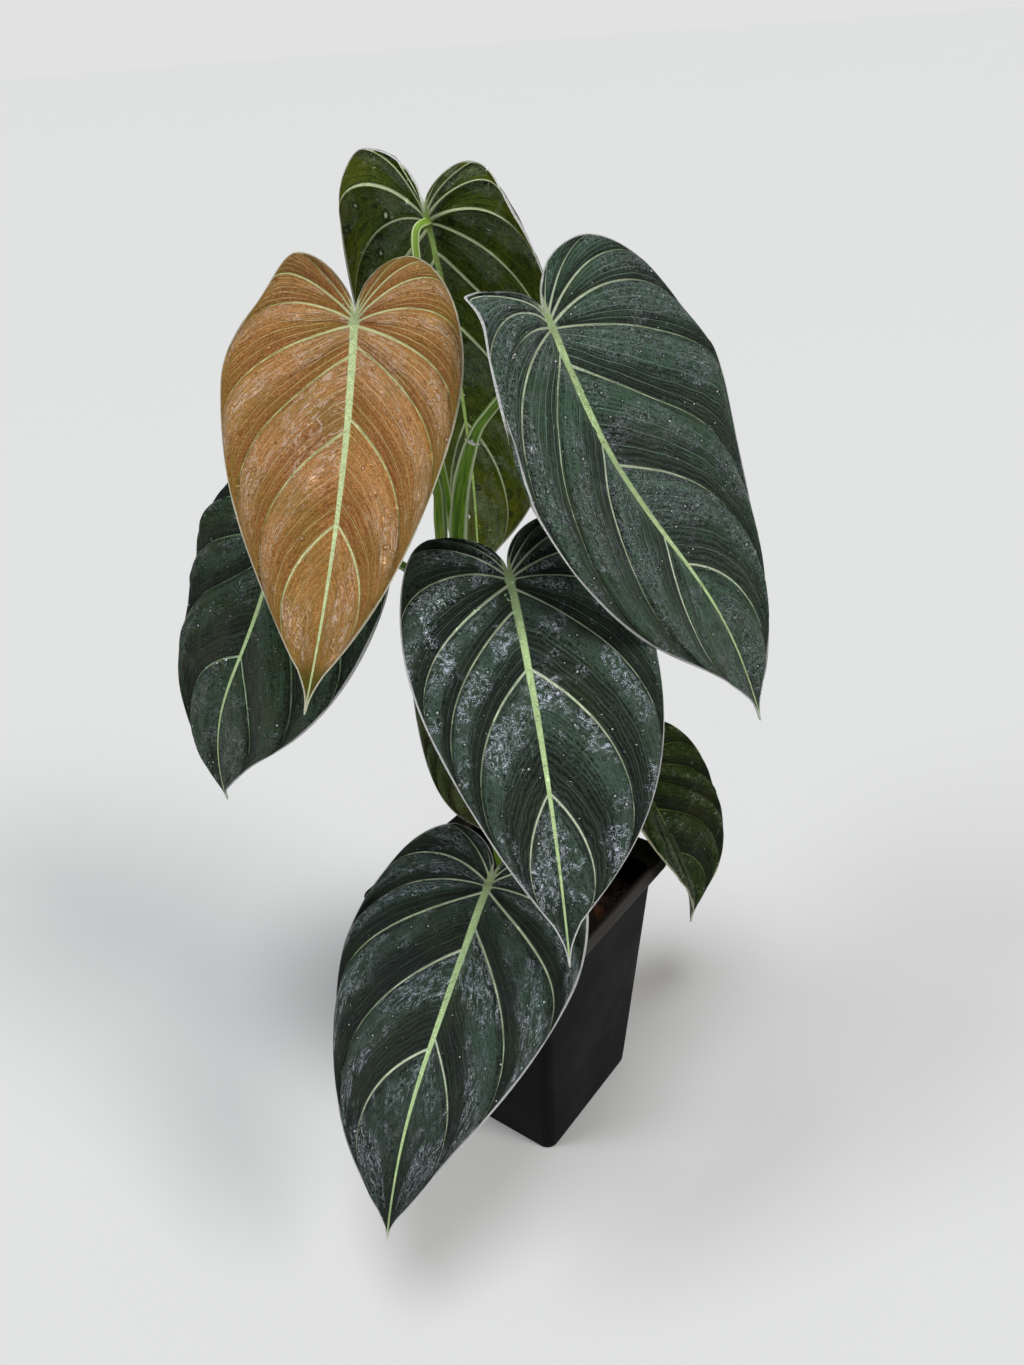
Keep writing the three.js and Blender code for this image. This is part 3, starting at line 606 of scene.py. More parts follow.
def half_surface(leaf, side, seed):
    """Grids of one half: upper and lower points in metres, outward direction, and the UV values."""
    half_blade = leaf["right" if side > 0 else "left"]
    shares = rows_of(leaf)
    phases = phases_of(half_blade, shares)
    ways = np.linspace(0, 1, WAY_STEPS + 1)
    laid = vein_points(leaf, half_blade, shares, ways)
    x, y = laid[..., 0], laid[..., 1]
    point, across, out = spine_of(leaf)(x)
    fold = np.radians(half_blade["fold"])
    curve = np.radians(max(half_blade["curl"], 0.01)) / half_blade["width"]
    slope = fold - curve * y
    reach = (np.sin(fold) - np.sin(slope)) / curve
    rise = (np.cos(slope) - np.cos(fold)) / curve
    sinus = BLADE["sinus"] * leaf["length"]
    lobe = half_blade["lift"] * np.clip((-x - sinus) / (half_blade["lobe"] - sinus), 0, 1.2) ** 2
    upper_height, depth, gap = relief(leaf, half_blade, shares, phases, ways, laid, seed)
    upper = point + side * reach[..., None] * across + (rise + lobe + upper_height)[..., None] * out
    lean = np.where(y < 1e-6, 0, slope)
    down = -np.cos(lean)[..., None] * out + side * np.sin(lean)[..., None] * across
    lower = upper + depth[..., None] * down
    outward = side * np.cos(slope)[..., None] * across + np.sin(slope)[..., None] * out
    edge = edge_points(leaf, half_blade, np.linspace(0, 1, EDGE_STEPS))
    marks = np.stack([edge_distance(laid, edge), gap], -1) * TO_UV
    veins = np.stack(np.broadcast_arrays(phases[:, None], ways[None, :]), -1)
    flat = np.stack([x, side * y], -1) * TO_UV
    return dict(upper=upper * MM, lower=lower * MM, outward=outward[:, -1],
                veins=veins, flat=flat, marks=marks)


def grid_quads(index):
    """The quads of a grid of point numbers."""
    return np.stack([index[:-1, :-1], index[:-1, 1:], index[1:, 1:], index[1:, :-1]], -1).reshape(-1, 4)


def ring_quads(start, rings, count):
    """The quads between rings of count points each, numbered from start."""
    return [(a + k, a + (k + 1) % count, a + (k + 1) % count + count, a + k + count)
            for a in range(start, start + (rings - 1) * count, count) for k in range(count)]


def mesh_object(name, points, faces, layers=None, sharp=45, weld_distance=2e-6, slots=None):
    """An object from points in metres, with UV layers given for each point. slots gives the number of
    each face's material. Faces that come with them are turned the right way already."""
    mesh = bpy.data.meshes.new(name)
    mesh.from_pydata(np.asarray(points).tolist(), [], [tuple(int(i) for i in f) for f in faces])
    if slots:
        mesh.polygons.foreach_set("material_index", slots)
    corner = np.zeros(len(mesh.loops), int)
    mesh.loops.foreach_get("vertex_index", corner)
    for key, values in (layers or {}).items():
        layer = mesh.uv_layers.new(name=key)
        layer.data.foreach_set("uv", np.asarray(values)[corner].astype(np.float32).ravel())
    weld = bmesh.new()
    weld.from_mesh(mesh)
    bmesh.ops.remove_doubles(weld, verts=weld.verts, dist=weld_distance)
    if slots:
        bmesh.ops.dissolve_degenerate(weld, edges=weld.edges, dist=DEGENERATE)
    else:
        bmesh.ops.recalc_face_normals(weld, faces=weld.faces)
    weld.to_mesh(mesh)
    weld.free()
    mesh.polygons.foreach_set("use_smooth", [True] * len(mesh.polygons))
    mesh.set_sharp_from_angle(angle=math.radians(sharp))
    made = bpy.data.objects.new(name, mesh)
    bpy.context.scene.collection.objects.link(made)
    return made


def blade_object(name, leaf, seed):
    """One closed blade mesh: upper face, lower face and a rounded rim between them."""
    points, faces, slots = [], [], []
    layers = {key: [] for key in UV_NAMES}
    count = 0
    for side in (-1, 1):
        grid = half_surface(leaf, side, seed + (side > 0))
        rows, columns = grid["upper"].shape[:2]
        rim = 0.5 * (grid["upper"][:, -1] + grid["lower"][:, -1]) + grid["outward"] * RIM_BULGE * MM
        points += [grid["upper"].reshape(-1, 3), grid["lower"].reshape(-1, 3), rim]
        for key in UV_NAMES:
            face = grid[key].reshape(-1, 2)
            layers[key] += [face, face, grid[key][:, -1]]
        index = np.arange(rows * columns).reshape(rows, columns) + count
        under = index + rows * columns
        last = np.arange(rows) + count + 2 * rows * columns
        top = grid_quads(index)
        bottom = top[:, ::-1] + rows * columns
        upper_rim = np.stack([index[:-1, -1], last[:-1], last[1:], index[1:, -1]], -1)
        lower_rim = np.stack([last[:-1], under[:-1, -1], under[1:, -1], last[1:]], -1)
        quads = np.vstack([top, bottom, upper_rim, lower_rim])
        if side > 0:
            quads = quads[:, ::-1]
        faces.append(quads)
        slots += [0] * len(top) + [1] * len(bottom) + [0] * len(upper_rim) + [1] * len(lower_rim)
        count += 2 * rows * columns + rows
    layers = {key: np.vstack(values) for key, values in layers.items()}
    return mesh_object(name, np.vstack(points), np.vstack(faces), layers, BLADE_SHARP, BLADE_WELD, slots)


print("blades can be built")

# %% [markdown]
# ## Drawing the veins
# All blades share one node group that draws their veins. It turns the UV maps into masks: how much a
# point belongs to the midrib, to a primary vein, to a finer vein or to the pale edge, a fine stripe that
# runs along the veins everywhere, and where painted light and painted shade fall on the two slopes of
# the swelling between two veins.


# %% Make the vein group
def vein_group():
    tree, g, given, result = new_group(
        "leaf_veins",
        {"Phase": 0.0, "Way": 0.0, "X": 0.0, "Y": 0.0, "Edge": 0.0, "Gap": 0.0, "Length": 170.0, "Rib": 1.6,
         "Primary": 0.75, "Fine veins": 6.0, "Pale edge": 0.42},
        ("Midrib", "Primary", "Fine", "Stripes", "Edge", "Painted_light", "Painted_shade"))
    phase, way, x, y, edge, gap, length, rib, primary, fine, pale = given
    wobble = g.less(g.noise(g.vector(g.times(phase, 3.0), g.times(way, 5.0)), 1.6, 2), 0.5)

    along = g.math("DIVIDE", x, length, clamp=True)
    rib_width = g.plus(g.times(rib, g.fade(along, -0.1, 1.0, 1.0, 0.2)), 0.05)
    midrib = g.fall(g.math("DIVIDE", g.math("ABSOLUTE", y), rib_width), 0.8, 1.15)
    from_joint = g.math("SQRT", g.plus(g.times(x, x), g.times(y, y)))
    midrib = g.math("MAXIMUM", midrib, g.fall(from_joint, 1.8, 3.4))

    from_vein = g.times(g.math("ABSOLUTE", g.less(phase, g.math("ROUND", phase))), gap)
    vein_width = g.times(primary, g.fade(way, 0.0, 1.0, 1.0, 0.5))
    inner = g.times(g.fall(way, 0.94, 1.0), g.fade(phase, 0.3, 0.7))
    vein = g.times(g.fall(g.math("DIVIDE", from_vein, vein_width), 0.6, 1.2), inner)

    # Masks for painted light on the rising slope of each swelling, just past a vein, and painted shade on the
    # falling slope before the next vein.
    part = g.math("FRACT", phase)
    calm = g.times(g.fall(way, 0.82, 1.0), g.fade(gap, 2.0, 9.0))
    lit = g.times(g.fade(part, 0.02, 0.16), g.fall(part, 0.4, 0.68), calm)
    shade = g.times(g.fade(part, 0.5, 0.86), calm)

    many = g.plus(g.times(phase, fine), g.times(wobble, 0.35))
    from_fine = g.math("ABSOLUTE", g.less(many, g.math("ROUND", many)))
    from_fine = g.math("DIVIDE", g.times(from_fine, gap), fine)
    fine_vein = g.times(g.fall(from_fine, 0.05, 0.38), g.fade(gap, 5.0, 16.0), g.fall(way, 0.75, 0.97))

    threads = g.plus(g.times(phase, 120.0), g.times(wobble, 14.0))
    stripes = g.times(g.plus(g.times(g.math("SINE", threads), 0.5), 0.5), g.fade(gap, 4.0, 14.0))
    rim = g.fall(edge, g.times(pale, 0.7), g.times(pale, 1.3))
    g.feed(result, {"Midrib": midrib, "Primary": vein, "Fine": fine_vein, "Stripes": stripes, "Edge": rim,
                    "Painted_light": lit, "Painted_shade": shade})
    return tree


VEIN_GROUP = vein_group()
print("vein group made")

# %% [markdown]
# ## Grain and mist on the leaves
# Up close a leaf is pebbled like fine leather, and wrinkled along its veins. The whole plant was sprayed
# too: the larger drops are modelled, but a thin film of water also lies in patches, with ragged ridges
# too small to model. Both are node groups that give masks, so that every blade can use them in its own
# measure.


# %% Make the grain and mist groups
def grain_group():
    tree, g, (place, phase, way, seed), result = new_group(
        "leaf_grain", {"Place": None, "Phase": 0.0, "Way": 0.0, "Seed": 0.0}, ("Grain", "Cloud", "Streak"))
    pebbles = g.noise(place, 76.0, 3, 0.75, 0.9)
    wrinkles = g.noise(g.vector(g.times(phase, 26.0), g.times(way, 6.0), seed), 1.0, 3, 0.65, 0.7)
    crepe = g.noise(place, 120.0, 1, 0.5, 0.8)
    broad = g.vector(g.times(phase, 6.0), g.times(way, 2.6), seed)
    g.feed(result, {"Grain": g.plus(g.times(pebbles, 0.44), g.times(wrinkles, 0.31), g.times(crepe, 0.25)),
                    "Cloud": g.noise(place, 3.4, 3, 0.6), "Streak": g.noise(broad, 1.6, 3, 0.6)})
    return tree


def mist_group():
    tree, g, (place, flow, size, cover, fineness, drop_scale), result = new_group(
        "thin_water",
        {"Place": None, "Flow": None, "Size": 5.0, "Cover": 0.5, "Fineness": 34.0, "Drop scale": 26.0},
        ("Film", "Ridges", "Drops", "Rings"))
    patches = g.noise(flow, size, 3.0, 0.65, 0.6)
    cells = g.node("ShaderNodeTexVoronoi", {"Vector": place, "Scale": drop_scale})
    lots = g.node("ShaderNodeSeparateColor", {0: cells.outputs["Color"]}).outputs
    from_drop = g.math("DIVIDE", cells.outputs["Distance"], g.fade(lots[0], 0.35, 1.0, 0.1, 0.27))
    chosen = g.fade(lots[1], 0.48, 0.5)
    # Drops is the height of each small drop; the rim mask is for painted shade round it.
    g.feed(result, {"Film": g.fade(g.plus(patches, g.less(cover, 0.5)), 0.47, 0.6),
                    "Ridges": g.noise(flow, fineness, 2.5, 0.6, 1.4),
                    "Drops": g.times(g.fall(from_drop, 0.0, 1.0), chosen),
                    "Rings": g.times(g.fade(from_drop, 0.6, 0.85), g.fall(from_drop, 1.05, 1.3), chosen)})
    return tree


GRAIN_GROUP, MIST_GROUP = grain_group(), mist_group()
print("grain and mist groups made")

# %% [markdown]
# ## The blade materials
# One recipe makes all the blades' finishes, each with its own colours. A deep and a light tone are mixed
# by the grain and by painted light and shade on the slopes of the swellings. Over them lie, in turn, a
# warm tone in clouds, for some leaves painted shade toward the end, the finer veins, a painted sheen and
# painted highlights on the film of water, painted shade round the drops and painted highlights in them,
# and last the primary veins, the midrib and the pale edge. Where the film of water lies, the surface is
# smoother, and its ridges tilt the light.


# %% Write the blade recipe
def leaf_values(g, leaf, rib, primary):
    """The vein group's masks, and what the UV maps feed it, with lengths in millimetres."""
    (phase, way, _), flat, marks = (g.parts(g.uv(key)) for key in UV_NAMES)
    feed = {"Phase": phase, "Way": way, "X": g.times(flat[0], FROM_UV), "Y": g.times(flat[1], FROM_UV),
            "Edge": g.times(marks[0], FROM_UV), "Gap": g.times(marks[1], FROM_UV)}
    values = {**feed, "Length": leaf["length"], "Rib": rib, "Primary": primary}
    return g.node("ShaderNodeGroup", values, node_tree=VEIN_GROUP).outputs, feed


def blade_material(name, leaf, hues, rib=2.0, primary=0.62, fine=0.35, film=0.5, size=5.0, fineness=34.0,
                   contrast=0.27, relief=0.18, rough=0.5, wet=0.2, shine=0.3, glints=0.5, painted_sheen=0.0, drop_glints=0.6,
                   drop_scale=26.0, flow=False, rim_tint=0.0, under=False, seed=0.0, tip=None, painted_end_shade=0.0):
    """A blade's finish. hues names its colours: deep, light, warm, vein, fine, rib and edge, and the tones of
    the painted highlights on the film of water and on the drops. relief is the strength of the painted
    light and shade on the slopes of the swellings. A tip gives the shares of the length where another
    colour begins and is full, and that colour."""
    made, g, surface = new_material(name)
    mask, feed = leaf_values(g, leaf, rib, primary)
    phase, way = feed["Phase"], feed["Way"]
    place = g.node("ShaderNodeVectorMath", {0: g.uv("flat"), 1: (seed, seed * 0.7, seed)},
                   operation="ADD").outputs[0]
    grain = g.node("ShaderNodeGroup", {"Place": place, "Phase": phase, "Way": way, "Seed": seed},
                   node_tree=GRAIN_GROUP).outputs
    # Painted light on the rising slope of each swelling and painted shade on the falling one; it also draws a
    # little more of the film of water onto the lit slopes.
    painted_slope_shading = g.less(g.times(mask["Painted_light"], 0.7), mask["Painted_shade"])
    stream = g.vector(g.times(phase, 0.2), g.times(way, 0.28), seed) if flow else place
    water = g.node("ShaderNodeGroup",
                   {"Place": place, "Flow": stream, "Cover": g.plus(g.times(painted_slope_shading, 0.1), film), "Size": size,
                    "Fineness": fineness, "Drop scale": drop_scale}, node_tree=MIST_GROUP).outputs

    # The grain and the streaks are the leaf's own colour; relief adds the painted light and shade of the
    # slopes.
    tonal = g.plus(g.times(grain["Grain"], 3.4), g.times(grain["Streak"], 0.6),
                   g.times(painted_slope_shading, 0.0 if under else relief))
    far = g.math("DIVIDE", feed["X"], leaf["length"])
    outer = g.math("MAXIMUM", g.fade(way, 0.35, 1.0), g.fade(far, 0.45, 0.9))
    lines = g.times(g.fade(water["Ridges"], 0.49, 0.515), g.fall(water["Ridges"], 0.525, 0.55))
    peaks = g.math("MAXIMUM", g.times(lines, 0.8), g.fade(water["Ridges"], 0.6, 0.65))
    layers = [(g.times(g.fade(grain["Cloud"], 0.45, 0.7), 0.55), hues["warm"]),
              # Painted shade toward the end of some leaves.
              (g.times(g.fade(far, 0.4, 0.85), painted_end_shade), hues["deep"]),
              (g.times(outer, g.fade(grain["Streak"], 0.3, 0.6), rim_tint), hues["warm"]),
              (g.times(mask["Stripes"], 0.12), hues["fine"]),
              (g.times(mask["Fine"], fine), hues["fine"]),
              # A painted sheen over the film of water.
              (g.times(water["Film"], painted_sheen), hues["speck"]),
              # Painted highlights on the ridges of the film of water.
              (g.times(peaks, water["Film"], glints), hues["speck"]),
              # Painted shade round the rim of each drop.
              (g.times(water["Rings"], 0.7), hues["deep"]),
              # A painted highlight in the middle of each drop.
              (g.times(g.fade(water["Drops"], 0.42, 0.62), drop_glints), hues["glint"])]
    if tip:
        begins, full, tip_hue = tip
        layers.append((g.fade(g.plus(far, g.times(grain["Cloud"], 0.06)), begins, full), tip_hue))
    layers += [(g.times(mask["Primary"], 0.95), hues["vein"]), (mask["Midrib"], hues["rib"]),
               (g.times(mask["Edge"], 0.85), hues["edge"])]
    ground = g.mix(g.fade(tonal, 2.08 - contrast, 2.08 + contrast), hues["deep"], hues["light"])

    wetness = g.math("MAXIMUM", water["Film"], g.fade(water["Drops"], 0.0, 0.2))
    gloss = g.math("ADD", g.fade(wetness, 0.0, 1.0, rough, wet), g.times(g.less(grain["Grain"], 0.5), 0.3),
                   clamp=True)
    height = g.plus(g.times(grain["Grain"], 1.4),
                    g.times(water["Ridges"], g.plus(g.times(water["Film"], 1.1), 0.25)),
                    g.times(mask["Stripes"], 0.06), g.times(water["Drops"], 0.3),
                    g.times(mask["Fine"], 0.25 if under else -0.18))
    dress(g, surface, {"Base Color": g.lay(ground, layers), "Roughness": gloss, "Specular IOR Level": shine},
          height, 1.0, 0.0021)
    return made


print("blade recipe written")

# %% [markdown]
# ## Mixing the leaf colours
# The new leaf is bronze. The grown leaves are dark green, with painted bluish highlights where they
# are wet, and the undersides are olive. The tones are written as they look on a screen.

# %% Mix the colours
# The tones for the film of water and for the drops, last in each set, are painted highlights.
VELVET = tones(deep="030c05", light="4a6652", warm="26320a", vein="ecfada", fine="7c9a88", rib="d6f2b0",
               edge="ffffff", speck="d4dcea", glint="ffffff")
TONES = {
    "bronze": tones(deep="8c5018", light="e0a05c", warm="8e7018", vein="f0f6b8", fine="ecd090", rib="e4f8ba",
                    edge="fffae0", speck="f6dac6", glint="fff6ee"),
    "right": {**VELVET, **tones(deep="03100a", light="48674e", fine="90b098")},
    "centre": {**VELVET, **tones(deep="020a03", light="495e50")},
    "front": {**VELVET, **tones(deep="010602", light="384e42", fine="5c7a68")},
    "left": {**VELVET, **tones(deep="020803", light="3a543c", warm="2c3408", vein="b8d4ac", fine="56704e")},
    "rim": {**VELVET, **tones(deep="020600", light="304a0a", warm="343604", vein="76884a", fine="4e5c22",
                              rib="98b066", edge="d0cca8", speck="a0ac98")},
    "inner": {**VELVET, **tones(deep="141c06", light="5c7840", warm="6a6a10", vein="c8d8b0", fine="6c7c54")},
}
TONES["crown"] = TONES["left"]
# Here too the last two tones are painted highlights: on the film of water and on the drops.
UNDER = tones(deep="121e00", light="567214", warm="6a6c00", vein="e2eebc", fine="6e8434", rib="c2e27e",
              edge="f8fbe4", speck="b0bea8", glint="f4faec")
BRONZE_UNDER = {**UNDER, **tones(deep="6a4a1c", light="8c6a30", fine="9c7c44", vein="c8c47c")}
# In a finish, relief is the strength of painted light and shade on the swellings, and glints that of the
# painted highlights on the film of water.
FINISH = {
    "bronze": dict(rib=1.85, primary=0.66, fine=0.75, film=0.48, size=4.0, fineness=22.0, contrast=0.55,
                   relief=0.2, rough=0.42, glints=0.62, painted_sheen=0.05, drop_glints=0.35, flow=True, rim_tint=0.8,
                   tip=(0.88, 0.945, tone("665a08"))),
    "crown": dict(rib=1.8, primary=0.76, drop_scale=9.5, drop_glints=0.7),
    "right": dict(rib=2.1, primary=0.66, size=3.0, fineness=62.0, fine=0.6, rough=0.46, glints=0.55,
                  relief=0.2, drop_glints=0.7),
    "centre": dict(rib=2.0, primary=0.66, film=0.465, size=4.5, fineness=26.0, rough=0.42, glints=1.0,
                   relief=0.3, painted_end_shade=0.35),
    "front": dict(rib=2.1, primary=0.64, fineness=56.0, rough=0.34, wet=0.18, shine=0.4, glints=0.66,
                  relief=0.36, flow=True, painted_end_shade=0.55),
    "left": dict(rib=1.5, primary=0.6, film=0.44, rough=0.4, glints=0.3, relief=0.22, shine=0.22, drop_glints=0.9),
    "rim": dict(rib=1.2, primary=0.46, film=0.49, size=4.0, fineness=24.0, rough=0.4, glints=0.45,
                shine=0.15),
    "inner": dict(rib=1.1, primary=0.5, film=0.4, glints=0.3, rim_tint=0.6),
}
# What the undersides share, in place of their upper faces' own.
BELOW = dict(primary=0.9, film=0.5, size=4.0, fineness=40.0, contrast=0.42, rough=0.38, fine=0.6, glints=0.4,
             painted_sheen=0.12, rim_tint=0.75, flow=False, tip=None, shine=0.14)
print("colours mixed")

# %% [markdown]
# ## Hanging the leaves
# Every blade replaces its solid and rides on the plant's one body.

# %% Build the leaves
blades = {}
for number, (name, leaf) in enumerate(LEAVES.items()):
    blade = blade_object("leaf_blade_" + name, leaf, 10 * number + 3)
    upper = blade_material("upper_face_" + name, leaf, TONES[name], seed=1.7 * number, **FINISH[name])
    under = blade_material("underside_" + name, leaf, BRONZE_UNDER if name == "bronze" else UNDER,
                           under=True, seed=5 + 1.3 * number, **{**FINISH[name], **BELOW})
    blade.data.materials.append(upper)
    blade.data.materials.append(under)
    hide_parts("blade_" + name)
    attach(blade, "root")
    blades[name] = blade
print("faces per blade:", {name: len(blade.data.polygons) for name, blade in blades.items()})

# %% [markdown]
# ## Stalks
# A stalk could be a curve with a bevel, but a petiole isn't round: it has a shallow channel along its
# upper side, with a pale lip on each side of it. So a cross-section is swept along a smooth path by
# hand, carried without twist, and its shape may change on the way.


# %% Sweep a cross-section along a path
def path_through(stops, step=1.2):
    """A smooth path through the stops, about one step (in millimetres) between its points."""
    p = np.array(stops, float)
    p = np.vstack([2 * p[0] - p[1], p, 2 * p[-1] - p[-2]])
    knots = np.concatenate([[0], np.cumsum(np.linalg.norm(np.diff(p, axis=0), axis=1) ** 0.5)])
    path = []
    for i in range(1, len(p) - 2):
        count = max(2, math.ceil(np.linalg.norm(p[i + 1] - p[i]) / step))
        t = np.linspace(knots[i], knots[i + 1], count, endpoint=False)[:, None]

        def between(a, b, first, last):
            return ((knots[last] - t) * a + (t - knots[first]) * b) / (knots[last] - knots[first])

        a1, a2, a3 = (between(p[k], p[k + 1], k, k + 1) for k in (i - 1, i, i + 1))
        path.append(between(between(a1, a2, i - 1, i + 1), between(a2, a3, i, i + 2), i, i + 1))
    return np.vstack([*path, p[-2:-1]])


def sweep(name, path, width, section, facing, around=40):
    """A closed tube. width gives a radius for each share of the path, and section a factor on it for
    each angle from the channel, which starts out facing the given direction."""
    tangents = unit(np.gradient(path, axis=0))
    steps = np.linalg.norm(np.diff(path, axis=0), axis=1)
    travelled = np.concatenate([[0], np.cumsum(steps)])
    shares = travelled / travelled[-1]
    angles = np.linspace(-math.pi, math.pi, around + 1)
    front = np.array(facing, float)
    points, skin = [], []
    for place, tangent, share, length in zip(path, tangents, shares, travelled):
        front = unit(front - front.dot(tangent) * tangent)
        side = np.cross(tangent, front)
        radius = width(share) * section(angles, share)
        ring = place + radius[:, None] * (np.cos(angles)[:, None] * front + np.sin(angles)[:, None] * side)
        points.append(ring)
        skin.append(np.stack([angles / math.pi, np.full_like(angles, length * TO_UV)], 1))
    rows, columns = len(path), around + 1
    index = np.arange(rows * columns).reshape(rows, columns)
    points = np.vstack(points + [path[:1], path[-1:]])
    skin = np.vstack(skin + [[[0, 0]], [[0, travelled[-1] * TO_UV]]])
    first, last = rows * columns, rows * columns + 1
    caps = [(first, index[0, k + 1], index[0, k]) for k in range(around)]
    caps += [(last, index[-1, k], index[-1, k + 1]) for k in range(around)]
    return mesh_object(name, points * MM, grid_quads(index).tolist() + caps, {"skin": skin})


print("stalks can be swept")

# %% [markdown]
# ## The petioles
# Each petiole leaves the stem at a node, climbs, and arches over into the back of its blade, where it
# thins and then thickens into a small joint. Its foot begins inside the stem, so that the two run into
# each other. The one that carries the right-hand leaf is the youngest but one: its foot is still a winged
# sheath that held the bronze leaf, and it ends in a dry, torn tip.

# %% Grow the petioles
STEM_ROUTE = [(0, 0, 118.4), (0, 0, 140), (-1, 4, 200), (-5, 8, 270), (-9, 12, 330), (-11, 14, 366)]
FOOT_DROP = 6.0
BLADE_GAP = 1.3
PETIOLES = {
    "bronze": dict(route=[(-14, 19, 366.2), (-14, 19, 386), (-13, 19, 403), (-15, 22, 420), (-18, 27, 440)],
                   approach=18, radii=(2.8, 3.4, 2.6, 2.1, 2.0), facing=(0.4, -1, 0)),
    "crown": dict(route=[(-5, 18, 366.2), (-3, 23, 393), (6, 36, 438), (18, 45, 486)], approach=10,
                  radii=(2.6, 2.4, 2.1, 2.0), facing=(-0.7, -0.7, 0)),
    "right": dict(route=[(-13, 11, 367.2), (-10, 10, 392), (-7, 7, 412), (-5, -1, 432), (-3, -8, 441),
                         (-4, -18, 451)],
                  approach=12, radii=(4.4, 4.5, 4.3, 3.7, 2.5, 2.3, 2.1), facing=(-0.55, -0.35, 0)),
    "centre": dict(route=[(-7.3, -1, 250), (-11, -7, 310), (-20, -16, 352)], approach=20,
                   radii=(2.8, 2.6, 2.2), facing=(0.7, 0.7, 0)),
    "front": dict(route=[(-6.2, -5.2, 156), (-21, -16, 194), (-47, -30, 216)], approach=8,
                  radii=(2.6, 2.4, 2.2), facing=(0.5, 0.5, 1)),
    "left": dict(route=[(-2, 14.6, 236), (-6, 21, 300), (-18, 30, 352), (-35, 52, 374)], approach=14,
                 radii=(2.8, 2.6, 2.3, 2.2), facing=(-0.2, -1, 0)),
    "rim": dict(route=[(5.8, -2.5, 168), (30, -7, 186), (55, -13, 197)], approach=18,
                radii=(2.3, 2.1, 1.9), facing=(-0.6, 0, 1)),
    "inner": dict(route=[(-8, 3.5, 170), (-18, 1, 215), (-23, 1, 270), (-23, -1, 308)], approach=16,
                  radii=(2.2, 2.1, 1.9, 1.8), facing=(1, 0, 0)),
}
CHANNEL_HALF = 0.62
SHEATH_END = 0.5
TEAR_BACK = 3.5
TEAR_HEIGHT = 3.6
TEAR_HALF = 1.35


def bump_at(angles, centre, width):
    """A smooth bump on both sides of the channel."""
    return np.exp(-(((np.abs(angles) - centre) / width) ** 2))


def petiole_section(angles, share):
    """Nearly round, with a channel (at angle zero) between two lips."""
    fade = min(1, share / 0.05, (1 - share) / 0.06)
    channel = np.exp(-((angles / CHANNEL_HALF) ** 2))
    return 1 - fade * (0.34 * channel - 0.13 * bump_at(angles, 0.85, 0.24))


def sheath_section(angles, share):
    """The same, with its lips drawn out into thin wings that fade where the sheath ends."""
    wing = max(0.0, min(1, (SHEATH_END - share) / 0.05)) * min(1, 0.35 + share * 1.4)
    channel = np.exp(-((angles / 0.55) ** 2))
    ripple = 1 + 0.12 * math.sin(share * 41) + 0.05 * math.sin(share * 97)
    fade = min(1, (1 - share) / 0.05)
    return (1 - fade * (0.30 + 0.16 * wing) * channel
            + fade * (0.12 + 0.42 * wing * ripple) * bump_at(angles, 0.80, 0.17))


def stem_middle(height):
    """The middle of the stem at a height."""
    line = np.array(STEM_ROUTE, float)
    return np.array([np.interp(height, line[:, 2], line[:, i]) for i in range(3)])


def petiole_path(name):
    """From a foot inside the stem, along the route, then along the normal into the blade's back."""
    plan, leaf = PETIOLES[name], LEAVES[name]
    start = np.array(plan["route"][0], float)
    foot = (start + stem_middle(start[2])) / 2 - np.array([0, 0, FOOT_DROP])
    out = spine_of(leaf)(np.array(0.0))[2]
    base = np.array(leaf["base"], float)
    return path_through([foot, *plan["route"], base - plan["approach"] * out, base - BLADE_GAP * out])


petioles = {}
for name, plan in PETIOLES.items():
    path = petiole_path(name)
    radii = np.array(plan["radii"] + (plan["radii"][-1],), float)
    spots = np.linspace(0, 1, len(radii))

    def width(share, spots=spots, radii=radii):
        joint = 0.22 * math.exp(-(((1 - share) / 0.035) ** 2))
        heel = 0.08 * math.exp(-(((share - 0.05) / 0.03) ** 2))
        foot = min(1.0, 0.45 + share / 0.05)
        return float(np.interp(share, spots, radii)) * (1 + joint + heel) * foot

    shape = sheath_section if name == "right" else petiole_section
    petiole = sweep("leaf_petiole_" + name, path, width, shape, plan["facing"])
    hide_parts("petiole_" + name)
    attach(petiole, "root")
    petioles[name] = petiole
print("petioles:", ", ".join(petioles))


def torn_tip(name, path, facing, start, columns=36, rows=5):
    """The papery end of the sheath: a thin collar, open behind, whose upper edge is torn."""
    rng = random.Random(11)
    tangents = unit(np.gradient(path, axis=0))
    points = []
    tears = [rng.uniform(0.35, 1.0) for _ in range(columns + 1)]
    for row in range(rows + 1):
        rise = row / rows
        for k in range(columns + 1):
            angle = -TEAR_HALF + 2 * TEAR_HALF * k / columns
            height = TEAR_HEIGHT * rise * tears[k] * math.cos(angle)
            spot = start + height / 1.2
            place = np.array([np.interp(spot, np.arange(len(path)), path[:, i]) for i in range(3)])
            tangent = tangents[int(spot)]
            front = unit(np.array(facing, float) - np.dot(facing, tangent) * tangent)
            side = np.cross(tangent, front)
            radius = 3.3 + 0.5 * rise + 0.2 * math.sin(5 * angle + 3 * rise)
            points.append(place + radius * (math.cos(angle) * front + math.sin(angle) * side))
    wide = columns + 1
    quads = [(r * wide + k, r * wide + k + 1, (r + 1) * wide + k + 1, (r + 1) * wide + k)
             for r in range(rows) for k in range(columns)]
    return mesh_object(name, np.array(points) * MM, quads)


sheath_path = petiole_path("right")
torn = torn_tip("sheath_torn_tip", sheath_path, PETIOLES["right"]["facing"],
                SHEATH_END * len(sheath_path) - TEAR_BACK)
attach(torn, "root")
print("torn tip faces:", len(torn.data.polygons))

